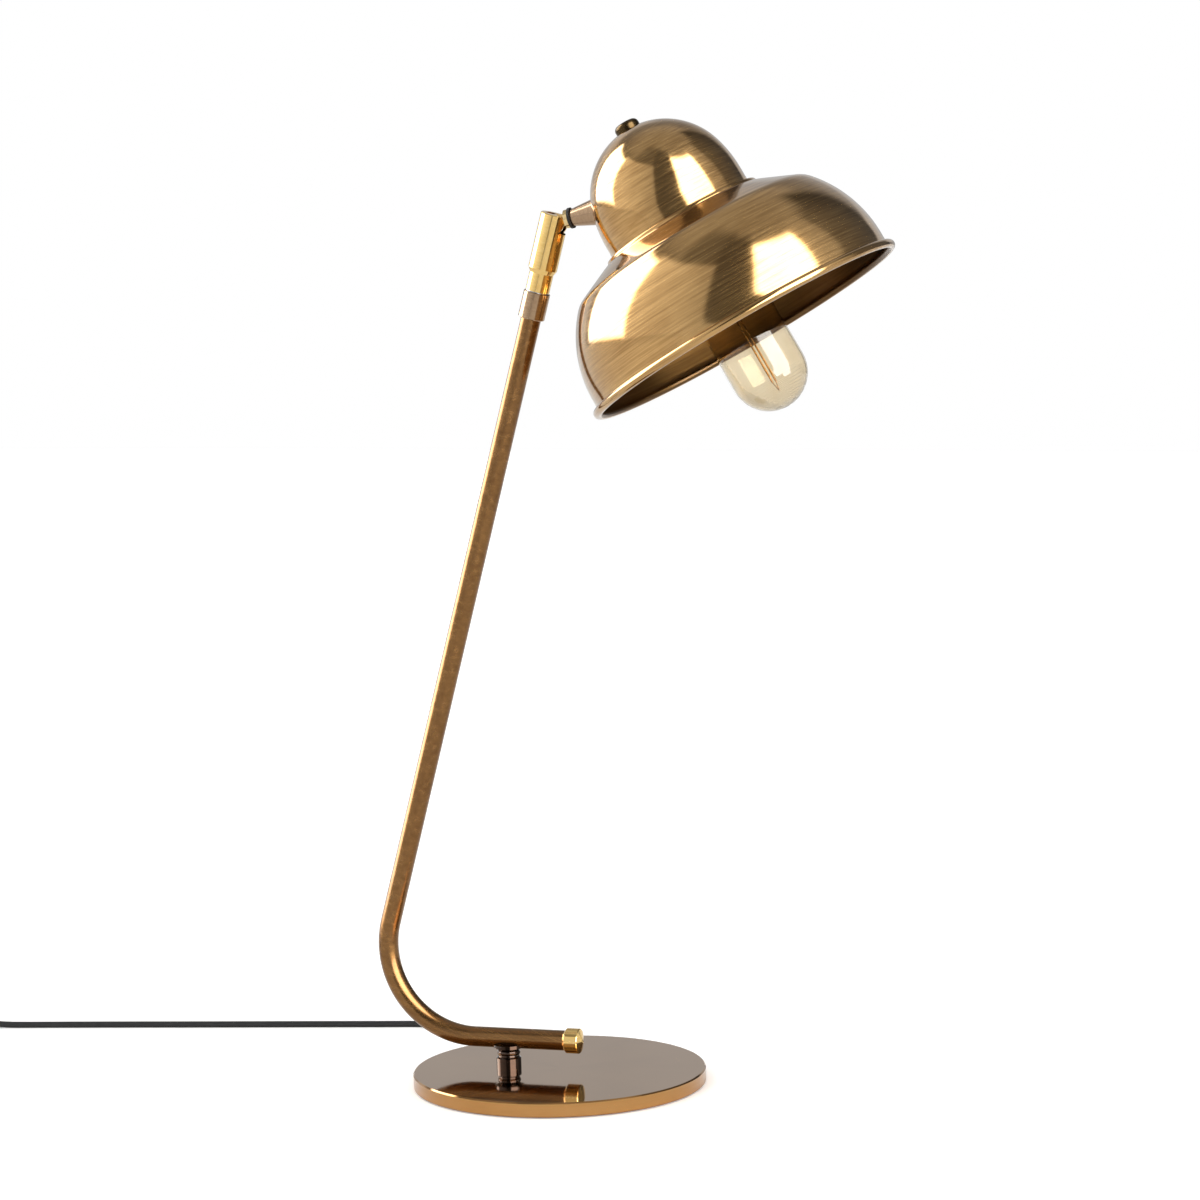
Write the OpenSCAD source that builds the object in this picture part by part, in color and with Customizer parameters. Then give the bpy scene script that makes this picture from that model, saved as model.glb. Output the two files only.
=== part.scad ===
// Table lamp: a round weighted foot, one bent tube, a swivel and tilt knuckle,
// a stepped spun shade with a tubular bulb, and a corded in-line switch.
// Millimetres, +Z up. The origin is the centre of the underside of the foot.
// The lamp lies in the XZ plane: +X is where the shade faces, +Y is the rear.

/* [Foot] */
// Diameter of the round plate
plate_d = 175; // [150:1:210]
// Height of the plate's top face above the table
plate_top = 9.5; // [9:0.1:14]
// Polished chamfer round the top edge
edge_chamfer = 0.8; // [0.4:0.1:1.2]
// How far the pad stands out under the plate
pad_proud = 0.6; // [0.4:0.1:1]
// Depth of the pad's recess
pad_recess = 1.0; // [0.6:0.1:1.4]
// Rim of bare metal round the pad
pad_rim = 4.5; // [3:0.5:8]
// Where the neck stands on the plate
neck_x = -32; // [-36:1:-26]
// Diameter of the turned ring on the plate
ring_d = 15; // [14:0.1:17]
// Height of the turned ring
ring_h = 6; // [5:0.1:7]
// Diameter of the neck above the ring
waist_d = 12.8; // [12:0.1:14]
// Diameter of the saddle under the tube
saddle_d = 18; // [16:0.1:20]
// Bead of the neck, under the flare
swell_d = 14; // [13:0.1:15]
// Thread of the neck's hollow stud
stud_d = 10; // [9.5:0.1:10.5]

/* [Stem] */
// Outside diameter of the bent tube
tube_d = 12; // [11:0.1:13]
// Wall of the tube
tube_wall = 1; // [0.8:0.1:1.2]
// Height of the foot run's axis
foot_z = 26.5; // [25:0.5:32]
// Radius of the bend at the tube's axis
bend_r = 54; // [45:1:65]
// Lean of the stem from the vertical, in degrees
lean = 15.5; // [8:0.5:20]
// Where the stem's axis meets the table
stem_x = -131.3; // [-150:0.1:-125]
// Where the foot run ends, at the end plug
foot_end = 4; // [-4:0.5:12]
// Diameter of the end plug
cap_d = 15; // [14:0.1:17]
// Length of the end plug outside the tube
cap_len = 9.4; // [7:0.1:14]
// Distance along the stem to the collar's lower edge
collar_v = 475; // [400:1:520]
// Length of the collar
collar_len = 16; // [14:0.5:20]
// Outside diameter of the collar
collar_d = 15.7; // [15:0.1:17]

/* [Knuckle] */
// Diameter of the turning post
post_d = 14.2; // [13:0.1:15]
// Length of the post that shows
post_len = 10.8; // [8:0.1:16]
// Diameter of the knuckle's barrel
barrel_d = 17; // [16.6:0.1:19]
// Length of the barrel
barrel_len = 35.5; // [32:0.5:45]
// Depth of the pivot below the barrel's top
pivot_drop = 5; // [5:0.1:6]
// Width of the slot in the barrel
slot_w = 6.4; // [6:0.1:7]
// Diameter of the hinge screw
pin_d = 4; // [3:0.1:4]
// Elevation of the arm, in degrees
arm_tilt = 12.4; // [5:0.1:20]
// Length from the pivot to the centre of the dome
arm_len = 70.65; // [69:0.05:74]
// Diameter of the arm's flange
flange_d = 11; // [10:0.1:12]
// Distance from the pivot to the flange
flange_at = 8; // [7.9:0.1:9]
// Thickness of the flange
flange_t = 2.5; // [2:0.1:3]
// Diameter of the black ring
seal_d = 12.3; // [12:0.1:13]
// Thickness of the black ring
seal_t = 1.5; // [1:0.1:2]
// Small end of the cone
cone_d1 = 10; // [9.6:0.1:11]
// Large end of the cone, against the dome
cone_d2 = 15.8; // [14:0.1:18]
// Thread of the arm's hollow stud
arm_stud_d = 8; // [7:0.1:8]

/* [Shade] */
// Lean of the shade's axis from the vertical, in degrees
shade_lean = 30; // [22:0.5:36]
// Outside radius of the straight wall above the rim
bowl_r = 95.9; // [88:0.1:104]
// Height of the straight wall
bowl_wall_h = 10.8; // [7:0.1:14]
// Radius of the bowl's side in section
side_r = 73.85; // [68:0.05:80]
// Angle that the side turns through
side_turn = 40.8; // [36:0.1:44]
// Radius of the shoulder in section
shoulder_r = 16; // [12:0.5:20]
// Angle of the shoulder's outer end
shoulder_turn = 65; // [62:0.5:68]
// Radius of the rolled rim in section
bead_r = 2.6; // [2:0.1:3.2]
// Outside radius of the dome's wall
dome_r = 45; // [42:0.1:48]
// Width of the ledge round the dome
ledge_w = 4.5; // [3.5:0.1:6]
// Height of the dome's straight wall
dome_wall_h = 9.1; // [8:0.1:12]
// Radius of the dome's lower side in section
dome_side_r = 73.46; // [66:0.01:80]
// Angle that the dome's lower side turns through
dome_side_turn = 17.3; // [14:0.1:20]
// Thickness of the spun metal
shell_t = 0.9; // [0.7:0.1:1.1]
// Diameter of the cap nut on the dome
nut_d = 15; // [13:0.1:17]
// Height of the cap nut
nut_h = 5; // [4.8:0.1:7]
// Rounded edge of the cap nut
nut_round = 3; // [1:0.1:3.5]

/* [Lampholder and bulb] */
// Outside diameter of the lampholder
holder_d = 39; // [37:0.5:42]
// Length of the lampholder's skirt
holder_len = 35; // [33:0.5:38]
// Diameter of the bulb
bulb_d = 45; // [40:0.5:50]
// Length of the bulb from its contact to its tip
bulb_len = 138; // [130:1:150]
// Diameter of the bulb's screw cap
bulb_cap_d = 26; // [26:0.1:26.4]
// Distance from the rim's plane to the bulb's tip
bulb_out = 48.2; // [40:0.1:52]

/* [Cord] */
// Diameter of the cord
cord_d = 4; // [3.8:0.1:4.2]
// Length of the switch
switch_len = 60; // [56:1:66]
// Width of the switch
switch_w = 24; // [22:0.5:28]
// Height of the switch
switch_h = 15; // [14.5:0.1:17]
// Length of the plug's body
plug_len = 36; // [34:0.5:40]
// Width of the plug's body
plug_w = 35.3; // [33:0.1:36]
// Thickness of the plug's body
plug_t = 13.7; // [13:0.1:15]
// Diameter of the plug's pins
plug_pin_d = 4; // [4:0.1:4.8]

/* [Hidden] */
$fn = 64;
eps = 0.01;
// Clearance of a turning fit, and of a thread or a glued fit, at the radius
run_c = 0.05;
fit_c = 0.05;

// Foot
plate_z = pad_proud;
recess_top = plate_z + pad_recess;
pad_r = plate_d/2 - pad_rim;
nut_room_d = 22;
nut_t = 2.4;
washer_t = 1;
lead_d = 3;
lead_z = recess_top + lead_d/2 + 0.1;
// The nut and the stud stop just above the lead that turns up into the stud
nut_z = lead_z + lead_d/2 + 0.1;
nut_room_top = nut_z + nut_t + washer_t;
stud_bore = 6.4;
// Cord way under the plate: it leaves the neck at this angle
way_a = 120;
way_dir = [cos(way_a), sin(way_a)];
way_z = 5;
way_w = cord_d + 0.8;
way_top = way_z + cord_d/2 + 0.1;
// Distance from the neck to the rim along the cord way
rim_w = -neck_x*cos(way_a) + sqrt(pow(neck_x*cos(way_a), 2) - pow(neck_x, 2) + pow(plate_d/2, 2));
gland_d = 7.4;
gland_t = 1.6;
gland_neck_d = 6;
// The gland's outer face stands a little inside the rim's edge
gland_w = rim_w - 1.6;
clamp_w = 40;
clamp_l = 8;
clamp_half = 8;
clamp_t = 1.4;
clamp_screw_d = 2.5;
lead_turn = 3.5;

// Neck
ring_top = plate_top + ring_h;
saddle_top = foot_z - tube_d/2 + 2.4;
stud_top = foot_z - tube_d/2 - 1;
wire_hole_d = 7;

// Tube
tube_r = tube_d/2;
tube_in = tube_r - tube_wall;
bend_z = foot_z + bend_r;
bend_x = stem_x + (bend_r + bend_z*sin(lean))/cos(lean);
bend_v = (bend_x - stem_x)*sin(lean) + bend_z*cos(lean);
bend_turn = 90 + lean;
lead_bend = 5.8;
cap_plug = 10;

// Collar, swivel and knuckle, as distances along the stem
collar_floor = 6;
tube_end = collar_v + collar_len - collar_floor;
collar_top = collar_v + collar_len;
slip_t = 0.5;
post_v = collar_top + slip_t;
barrel_v = post_v + post_len;
barrel_top = barrel_v + barrel_len;
pivot_v = barrel_top - pivot_drop;
spigot_d = 8.3;
tail_d = 7;
wire_bore = 5;
swivel_nut_d = 2*tube_in - 0.6;
swivel_nut_h = 3.6;
swivel_nut_v = tube_end - 0.1 - swivel_nut_h;
spigot_v = swivel_nut_v - 1.8;
stub_d = 8;
stub_h = 4;
stop_v = collar_top - collar_floor/2;
stop_tip_d = 1.4;
groove_h = 1.9;
groove_r = 3.4;
// Half of the land that meets the stop screw, in degrees
land_half = 7;
screw_d = 3;
barrel_chamfer_h = 2.7;
relief_r = flange_at - 0.3;
eye_r = 4.8;
eye_c = 0.4;
tongue_t = slot_w - 0.4;
tongue_h = 7;
slot_floor = eye_r + 0.7;
pin_head_d = 6.2;
pin_head_h = 2;
pin_head_y = 5.4;
pin_blind = 6;

// Shade section, as radius and height above the rim's plane
side_cx = bowl_r - side_r;
side_end = [side_cx + side_r*cos(side_turn), bowl_wall_h + side_r*sin(side_turn)];
shoulder_c = side_end - shoulder_r*[cos(side_turn), sin(side_turn)];
shoulder_end = shoulder_c + shoulder_r*[cos(shoulder_turn), sin(shoulder_turn)];
slope = cos(shoulder_turn)/sin(shoulder_turn);
ledge_r = dome_r + ledge_w;
slope_top = shoulder_end[1] + (shoulder_end[0] - ledge_r)*slope;
crease_h = 1.4;
crease_w = 0.5;
ledge_s = slope_top + crease_h;
dome_wall_top = ledge_s + dome_wall_h;
dome_side_cx = dome_r - dome_side_r;
dome_side_end = [dome_side_cx + dome_side_r*cos(dome_side_turn), dome_wall_top + dome_side_r*sin(dome_side_turn)];
dome_top_r = dome_side_end[0]/cos(dome_side_turn);
dome_c = dome_side_end[1] - dome_top_r*sin(dome_side_turn);
apex = dome_c + dome_top_r;
lip_w = 0.7;
lip_h = 0.8;
neck_h = 6.5;
neck_c = 0.05;
bead_c = [bowl_r + 1.3, bead_r];

// Arm
seal_at = flange_at + flange_t;
cone_at = seal_at + seal_t;
arm_bore = 4.6;
shell_at = arm_len - dome_top_r;
inner_at = shell_at + shell_t;
arm_washer_t = 1.6;
arm_nut_t = 3.6;
arm_nut_af = 12;
arm_nut_at = inner_at + arm_washer_t;
arm_stud_end = arm_nut_at + arm_nut_t + 1;
arm_washer_d = 15;

// Cap nut, nipple and lampholder
nut_top = apex - 0.7 + nut_h;
nipple_d = 10;
nipple_bore = 7;
nipple_washer_d = 20;
nipple_washer_s = apex - shell_t - 2.4;
locknut_t = 3;
locknut_af = 14;
// The lampholder hangs on the nipple; its mouth is at holder_mouth
bulb_contact_s = bulb_len - bulb_out;
holder_mouth = bulb_contact_s - 26.8;
holder_top = holder_mouth + holder_len;
holder_cap_h = 17;
holder_wall = 1.8;
holder_cap_top = holder_top + holder_cap_h;
nipple_low = holder_cap_top - 7;
insert_d = 2*(holder_d/2 - holder_wall - 0.1);
insert_floor = bulb_contact_s + 2.4;
insert_top = holder_top - 0.5;
thread_wall = 0.5;
thread_d = bulb_cap_d + 0.6;
thread_low = holder_mouth + 3;
thread_top = bulb_contact_s - 5;
lead_hole_d = lead_d + 0.1;
// The head's lead runs on along the arm into the lampholder's cap
lead_end = arm_len - 12;

// Bulb
bulb_r = bulb_d/2;
glass_t = 0.8;
bulb_round = -bulb_out + bulb_r;
glass_neck_r = bulb_cap_d/2 - 1.2;
cap_low = bulb_contact_s - 26;
cap_high = bulb_contact_s - 5.4;
insulator_top = bulb_contact_s - 1.4;
glass_neck_s = cap_low + 4;
shoulder_s = cap_low - 13;
mount_low = cap_low - 42;
mount_r = 3.4;
hook_s = -37.7;
rod_r = 1.15;
rod_d = 1.1;
rod_low = -32;
wire_d = 0.5;
fil_top = cap_low - 46;

// Cord route. The points are on the cord's axis.
floor_z = cord_d/2 + 0.02;
exit_p = [neck_x + gland_w*cos(way_a), gland_w*sin(way_a)];
exit_t = [cos(way_a), sin(way_a), 0];
run_pts = [[-76, 76, 2.76], [-84, 90, 2], [-95, 105, 2], [-110, 117, 2], [-124, 125, 2],
  [-138, 126.6, 2], [-160, 122, 2], [-212, 111, 2], [-276, 97.4, 2], [-340, 84, 2],
  [-396, 72, 2], [-414, 68.2, 3.4]];
switch_a = 192;
switch_dir = [cos(switch_a), sin(switch_a), 0];
switch_p = [-430, 64.8];
switch_z = 6;
link_pts = [[-505, 47, 3.6], [-513, 38, 2.6]];
coil_c = [-488, -4];
coil_r = 28.5;
coil_turns = 9.25;
coil_layers = 4;
coil_step = 4.55;
coil_rings = 24;
coil_start = 180;
tie_t = 0.8;
tie_w = 5;
tie_c = 0.2;
tie_a = 45;
coil_z = 0.1 + tie_t + 0.1 + cord_d/2;
tail_pts = [[-466, -33.6, 13.4], [-451, -34, 9]];
plug_p = [-438, -34];
plug_z = plug_t/2;
relief_len = 20;
// Sleeve that keeps the cord from bending sharply at the foot, and how far it dips
sleeve_len = 20;
sleeve_dip = 5.7;
plug_pin_len = 19;
plug_pin_half = 9.3;

// Points on an arc, from angle a0 to a1
function arc(c, r, a0, a1, n) = [for (i = [0:n]) let (a = a0 + (a1 - a0)*i/n) c + r*[cos(a), sin(a)]];
function unit(v) = v/norm(v);
// A rectangle with round corners, centred on [0, 0]
function rrect(l, w, r, n = 6) = concat(
  arc([l/2 - r, w/2 - r], r, 0, 90, n), arc([r - l/2, w/2 - r], r, 90, 180, n),
  arc([r - l/2, r - w/2], r, 180, 270, n), arc([l/2 - r, r - w/2], r, 270, 360, n));
// A smooth curve through points, with the first and last directions given
function spline(p, t0, t1, k) = let (n = len(p) - 1,
  tan = [for (i = [0:n]) i == 0 ? t0*norm(p[1] - p[0]) : i == n ? t1*norm(p[n] - p[n - 1])
    : unit(p[i + 1] - p[i - 1])*min(norm(p[i + 1] - p[i]), norm(p[i] - p[i - 1]))])
  [for (i = [0:n - 1]) for (j = [0:k - 1]) let (t = j/k, a = p[i], b = p[i + 1])
    (2*t*t*t - 3*t*t + 1)*a + (t*t*t - 2*t*t + t)*tan[i] + (3*t*t - 2*t*t*t)*b + (t*t*t - t*t)*tan[i + 1],
    p[n]];
// The direction of a curve at point i
function heading(p, i, t0, t1) = i == 0 ? t0 : i == len(p) - 1 ? t1 : unit(p[i + 1] - p[i - 1]);
// The length of a curve
function run_len(p, i = 0) = i >= len(p) - 1 ? 0 : norm(p[i + 1] - p[i]) + run_len(p, i + 1);
// The outward side of a curve's ring
function side_of(t) = unit(cross(t, [0, 0, 1]));

// A round tube swept along points
module sweep(p, r, sides, t0, t1) {
  n = len(p);
  pts = [for (i = [0:n - 1]) let (t = unit(heading(p, i, t0, t1)), u = side_of(t), v = cross(u, t))
    for (j = [0:sides - 1]) let (a = 360*j/sides + 90) p[i] + r*(cos(a)*u + sin(a)*v)];
  walls = [for (i = [0:n - 2]) for (j = [0:sides - 1]) let (a = i*sides + j, b = i*sides + (j + 1)%sides)
    each [[a, b, a + sides], [b, b + sides, a + sides]]];
  ends = [for (j = [1:sides - 2]) each [[0, j + 1, j], [(n - 1)*sides, (n - 1)*sides + j, (n - 1)*sides + j + 1]]];
  polyhedron(pts, concat(walls, ends), convexity = 10);
}

// Frames of the stem, the arm and the shade
pivot = [stem_x + pivot_v*sin(lean), 0, pivot_v*cos(lean)];
dome_centre = pivot + arm_len*[cos(arm_tilt), 0, sin(arm_tilt)];
rim_centre = dome_centre - dome_c*[-sin(shade_lean), 0, cos(shade_lean)];
module stem_frame() translate([stem_x, 0, 0]) rotate([0, lean, 0]) children();
module arm_frame() translate(pivot) rotate([0, 90 - arm_tilt, 0]) children();
module shade_frame() translate(rim_centre) rotate([0, -shade_lean, 0]) children();
module way_frame() translate([neck_x, 0, 0]) rotate([0, 0, way_a]) children();
module switch_frame() translate([switch_p[0], switch_p[1], 0]) rotate([0, 0, switch_a]) children();
module plug_frame() translate([plug_p[0], plug_p[1], 0]) children();

// A ring or washer
module ring(d, bore, h) difference() {
  cylinder(d = d, h = h);
  translate([0, 0, -1]) cylinder(d = bore, h = h + 2);
}

// Foot
module base_plate() color("#9b8468") difference() {
  rotate_extrude($fn = 96) polygon([[0, plate_z], [plate_d/2 - 0.8, plate_z], [plate_d/2, plate_z + 0.8],
    [plate_d/2, plate_top - edge_chamfer], [plate_d/2 - edge_chamfer, plate_top], [0, plate_top]]);
  translate([0, 0, -1]) cylinder(r = pad_r, h = recess_top + 1);
  translate([neck_x, 0, -1]) cylinder(d = nut_room_d, h = nut_room_top + 1);
  translate([neck_x, 0, 0]) cylinder(d = stud_d + 2*fit_c, h = plate_top + 1);
  way_frame() {
    translate([0, -way_w/2, 0]) cube([pad_w(), way_w, way_top]);
    translate([0, 0, way_z]) rotate([0, 90, 0]) cylinder(d = gland_neck_d + 2*fit_c, h = rim_w);
    translate([gland_w - gland_t, 0, way_z]) rotate([0, 90, 0]) cylinder(d = gland_d + 0.2, h = 12);
    translate([clamp_w - clamp_l/2 - 0.1, -clamp_half - 0.1, 0])
      cube([clamp_l + 0.2, 2*clamp_half + 0.2, recess_top + clamp_t]);
    for (s = [-1, 1]) translate([clamp_w, s*(clamp_half - 3), 0])
      cylinder(d = clamp_screw_d + 2*fit_c, h = plate_top - 2);
  }
}
// How far the open groove runs: to the edge of the pad
function pad_w() = rim_w - pad_rim - 3;

module base_pad() color("#222222") cylinder(r = pad_r - 0.2, h = recess_top, $fn = 96);

module cord_grommet() color("#1c1c1c") way_frame() translate([gland_w, 0, way_z]) difference() {
  union() {
    rotate([0, -90, 0]) cylinder(d = gland_d, h = gland_t);
    rotate([0, -90, 0]) cylinder(d = gland_neck_d, h = gland_t + pad_rim);
    rotate([0, 90 + sleeve_dip, 0]) translate([0, 0, -0.3]) cylinder(d1 = 6.6, d2 = cord_d + 1.4, h = sleeve_len + 0.3);
  }
  rotate([0, -90, 0]) translate([0, 0, -0.5]) cylinder(d = cord_d + 2*fit_c, h = 20);
  rotate([0, 90 + sleeve_dip, 0]) translate([0, 0, -0.6]) cylinder(d = cord_d + 0.6, h = sleeve_len + 2);
}

module cord_clamp() color("#8a8d90") way_frame() difference() {
  translate([clamp_w - clamp_l/2, -clamp_half, recess_top]) cube([clamp_l, 2*clamp_half, clamp_t]);
  for (s = [-1, 1]) translate([clamp_w, s*(clamp_half - 3), recess_top]) {
    cylinder(d1 = 4.7, d2 = clamp_screw_d + 0.1, h = 1.1);
    cylinder(d = clamp_screw_d + 0.1, h = clamp_t + 1);
  }
}

module clamp_screws() color("#b0b3b6") way_frame() for (s = [-1, 1])
  translate([clamp_w, s*(clamp_half - 3), recess_top]) {
    cylinder(d1 = 4.6, d2 = clamp_screw_d, h = 1.1);
    cylinder(d = clamp_screw_d, h = plate_top - 2.4 - recess_top);
  }

// Neck
module neck_ring() color("#2b211b") translate([neck_x, 0, plate_top]) difference() {
  union() {
    cylinder(d = ring_d, h = ring_h - 0.8);
    translate([0, 0, ring_h - 0.8]) cylinder(d1 = ring_d, d2 = ring_d - 1.6, h = 0.8);
  }
  translate([0, 0, -1]) cylinder(d = stud_d + 2*fit_c, h = ring_h + 2);
}

module neck_saddle() color("#2b211b") difference() {
  flare = foot_z - tube_r + 0.4 - ring_top;
  swell_r = (flare - 1.6)/2;
  translate([neck_x, 0, ring_top]) rotate_extrude() polygon(concat(
    [[0, 0], [waist_d/2, 0], [waist_d/2, 0.6]],
    arc([swell_d/2 - swell_r, 0.6 + swell_r], swell_r, -50, 60, 7),
    [[saddle_d/2, flare], [saddle_d/2, saddle_top - ring_top], [0, saddle_top - ring_top]]));
  translate([neck_x - 20, 0, foot_z]) rotate([0, 90, 0]) cylinder(r = tube_r, h = 40);
  translate([neck_x, 0, 0]) cylinder(d = stud_d + 2*fit_c, h = stud_top);
  translate([neck_x, 0, 0]) cylinder(d = wire_hole_d, h = foot_z);
}

module neck_stud() color("#b5a070") translate([neck_x, 0, nut_z]) ring(stud_d, stud_bore, stud_top - nut_z);

module stud_washer() color("#a6a9ab") translate([neck_x, 0, nut_z + nut_t]) ring(nut_room_d - 2, stud_d + 0.2, washer_t);

module stud_nut() color("#b5a070") translate([neck_x, 0, nut_z]) difference() {
  cylinder(d = 14/cos(30), h = nut_t, $fn = 6);
  translate([0, 0, -1]) cylinder(d = stud_d + 2*fit_c, h = nut_t + 2);
}

// Bent tube: foot run, bend and stem, brazed end to end
module pipe(h) difference() {
  cylinder(r = tube_r, h = h);
  translate([0, 0, -1]) cylinder(r = tube_in, h = h + 2);
}

module foot_tube() color("#8a6a48") difference() {
  translate([bend_x, 0, foot_z]) rotate([0, 90, 0]) pipe(foot_end - bend_x);
  translate([neck_x, 0, foot_z - tube_d]) cylinder(d = wire_hole_d, h = tube_d);
}

module bend_tube() color("#8a6a48") translate([bend_x, 0, bend_z]) rotate([90, 0, 0]) rotate([0, 0, 180 - lean])
  rotate_extrude(angle = bend_turn, $fn = 96) translate([bend_r, 0]) difference() {
    circle(r = tube_r, $fn = 48);
    circle(r = tube_in, $fn = 48);
  }

module stem_tube() color("#8a6a48") stem_frame() translate([0, 0, bend_v]) pipe(tube_end - bend_v);

module stem_end_cap() color("#d2ab5c") translate([foot_end, 0, foot_z]) rotate([0, 90, 0]) {
  rotate_extrude() polygon([[0, 0], [cap_d/2 - 1.5, 0], [cap_d/2, 1.5], [cap_d/2, cap_len - 0.4],
    [cap_d/2 - 0.4, cap_len], [0, cap_len + 1.9]]);
  translate([0, 0, -cap_plug]) cylinder(r = tube_in - fit_c, h = cap_plug);
}

// Collar: sleeve on the tube below, bearing for the spigot above
module stem_collar() color("#4b3b30") stem_frame() difference() {
  translate([0, 0, collar_v]) rotate_extrude() polygon([[0, 0], [collar_d/2 - 0.4, 0], [collar_d/2, 0.4],
    [collar_d/2, collar_len - 0.4], [collar_d/2 - 0.4, collar_len], [0, collar_len]]);
  translate([0, 0, collar_v - 1]) cylinder(r = tube_r + fit_c, h = tube_end - collar_v + 1);
  translate([0, 0, collar_v]) cylinder(d = spigot_d + 2*run_c, h = collar_len + 1);
  translate([0, 0, stop_v]) rotate([-90, 0, 0]) cylinder(d = screw_d + 2*fit_c, h = collar_d);
}

module collar_screw() color("#4a4a4a") stem_frame() translate([0, 0, stop_v]) rotate([-90, 0, 0]) difference() {
  union() {
    translate([0, 0, groove_r + 0.15]) cylinder(d = stop_tip_d, h = 2);
    translate([0, 0, spigot_d/2 + run_c + 0.1]) cylinder(d = screw_d, h = collar_d/2 - spigot_d/2 - run_c - 0.5);
  }
  translate([0, 0, collar_d/2 - 1.4]) cylinder(d = 1.6/cos(30), h = 2, $fn = 6);
}

// Lead from the gland to the knuckle, bare of its sheath past the clamp; it is a hair thicker in its bends
module stem_lead() color("#1a1a1a") {
  straight_d = lead_d - 0.1;
  way_frame() {
    translate([lead_sheath(), 0, way_z]) rotate([0, 90, 0]) cylinder(d = cord_d, h = gland_w - lead_sheath());
    translate([lead_low(), 0, lead_z]) rotate([0, atan2(lead_sheath() - lead_low(), way_z - lead_z), 0])
      translate([0, 0, -0.8]) cylinder(d = lead_d - 0.6, h = norm([lead_sheath() - lead_low(), way_z - lead_z]) + 1.6);
    translate([lead_turn, 0, lead_z]) rotate([0, 90, 0]) cylinder(d = straight_d, h = lead_low() - lead_turn);
    translate([lead_turn, 0, lead_z + lead_turn]) rotate([90, 0, 0]) rotate([0, 0, 180])
      rotate_extrude(angle = 90) translate([lead_turn, 0]) circle(d = lead_d, $fn = 32);
  }
  translate([neck_x, 0, lead_z + lead_turn]) cylinder(d = straight_d, h = foot_z - lead_bend - lead_z - lead_turn);
  translate([neck_x - lead_bend, 0, foot_z - lead_bend]) rotate([90, 0, 0])
    rotate_extrude(angle = 90) translate([lead_bend, 0]) circle(d = lead_d, $fn = 32);
  translate([bend_x, 0, foot_z]) rotate([0, 90, 0]) cylinder(d = straight_d, h = neck_x - lead_bend - bend_x);
  translate([bend_x, 0, bend_z]) rotate([90, 0, 0]) rotate([0, 0, 180 - lean])
    rotate_extrude(angle = bend_turn, $fn = 96) translate([bend_r, 0]) circle(d = lead_d, $fn = 32);
  stem_frame() translate([0, 0, bend_v]) cylinder(d = straight_d, h = pivot_v - slot_floor - 0.8 - bend_v);
}
// Where the sheath ends, and where the lead reaches its low run
function lead_sheath() = clamp_w - clamp_l/2 - 6;
function lead_low() = nut_room_d/2 + 5;

module swivel_washer() color("#16130f") stem_frame() translate([0, 0, collar_top]) ring(post_d - 0.6, spigot_d + 0.5, slip_t);

// Swivel
module swivel_post() color("#d8b25e") stem_frame() difference() {
  union() {
    translate([0, 0, post_v]) cylinder(d = post_d, h = post_len);
    translate([0, 0, tube_end]) cylinder(d = spigot_d, h = post_v - tube_end);
    translate([0, 0, spigot_v]) cylinder(d = tail_d, h = tube_end - spigot_v);
    translate([0, 0, barrel_v]) cylinder(d = stub_d, h = stub_h);
  }
  translate([0, 0, spigot_v - 1]) cylinder(d = wire_bore, h = barrel_v + stub_h - spigot_v + 2);
  translate([0, 0, stop_v - groove_h/2]) rotate([0, 0, land_half - 90])
    rotate_extrude(angle = 360 - 2*land_half) translate([groove_r, 0]) square([spigot_d, groove_h]);
}

module swivel_nut() color("#b9b9b9") stem_frame() translate([0, 0, swivel_nut_v]) ring(swivel_nut_d, tail_d + 2*fit_c, swivel_nut_h);

module knuckle_body() color("#d8b25e") stem_frame() difference() {
  translate([0, 0, barrel_v]) rotate_extrude($fn = 96) polygon([[0, 0], [post_d/2, 0],
    [barrel_d/2, barrel_chamfer_h], [barrel_d/2, barrel_len - 0.5], [barrel_d/2 - 0.5, barrel_len], [0, barrel_len]]);
  // socket for the post and way for the lead
  translate([0, 0, barrel_v - 1]) cylinder(d = stub_d + 2*fit_c, h = stub_h + 1.1);
  translate([0, 0, barrel_v]) cylinder(d = wire_bore, h = barrel_len);
  // slot for the tongue
  translate([-eye_r - eye_c, -slot_w/2, pivot_v - slot_floor]) cube([30, slot_w, 30]);
  // the front of the barrel is turned back so that the flange swings clear
  difference() {
    translate([0, -barrel_d, pivot_v - pivot_drop]) cube([barrel_d, 2*barrel_d, 30]);
    translate([0, -2*barrel_d, pivot_v]) rotate([-90, 0, 0]) cylinder(r = relief_r, h = 4*barrel_d);
  }
  // hinge screw
  translate([0, -pin_blind, pivot_v]) rotate([-90, 0, 0]) cylinder(d = pin_d + 2*fit_c, h = pin_blind + pin_head_y);
  translate([0, pin_head_y, pivot_v]) rotate([-90, 0, 0]) cylinder(d = pin_head_d + 0.2, h = 10);
}

module knuckle_screw() color("#c9a352") stem_frame() translate([0, 0, pivot_v]) rotate([-90, 0, 0]) difference() {
  union() {
    translate([0, 0, 0.3 - pin_blind]) cylinder(d = pin_d, h = pin_blind + pin_head_y);
    translate([0, 0, pin_head_y]) cylinder(d = pin_head_d, h = pin_head_h);
  }
  translate([0, 0, pin_head_y + pin_head_h - 1.2]) cylinder(d = 2.5/cos(30), h = 2, $fn = 6);
}

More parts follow.
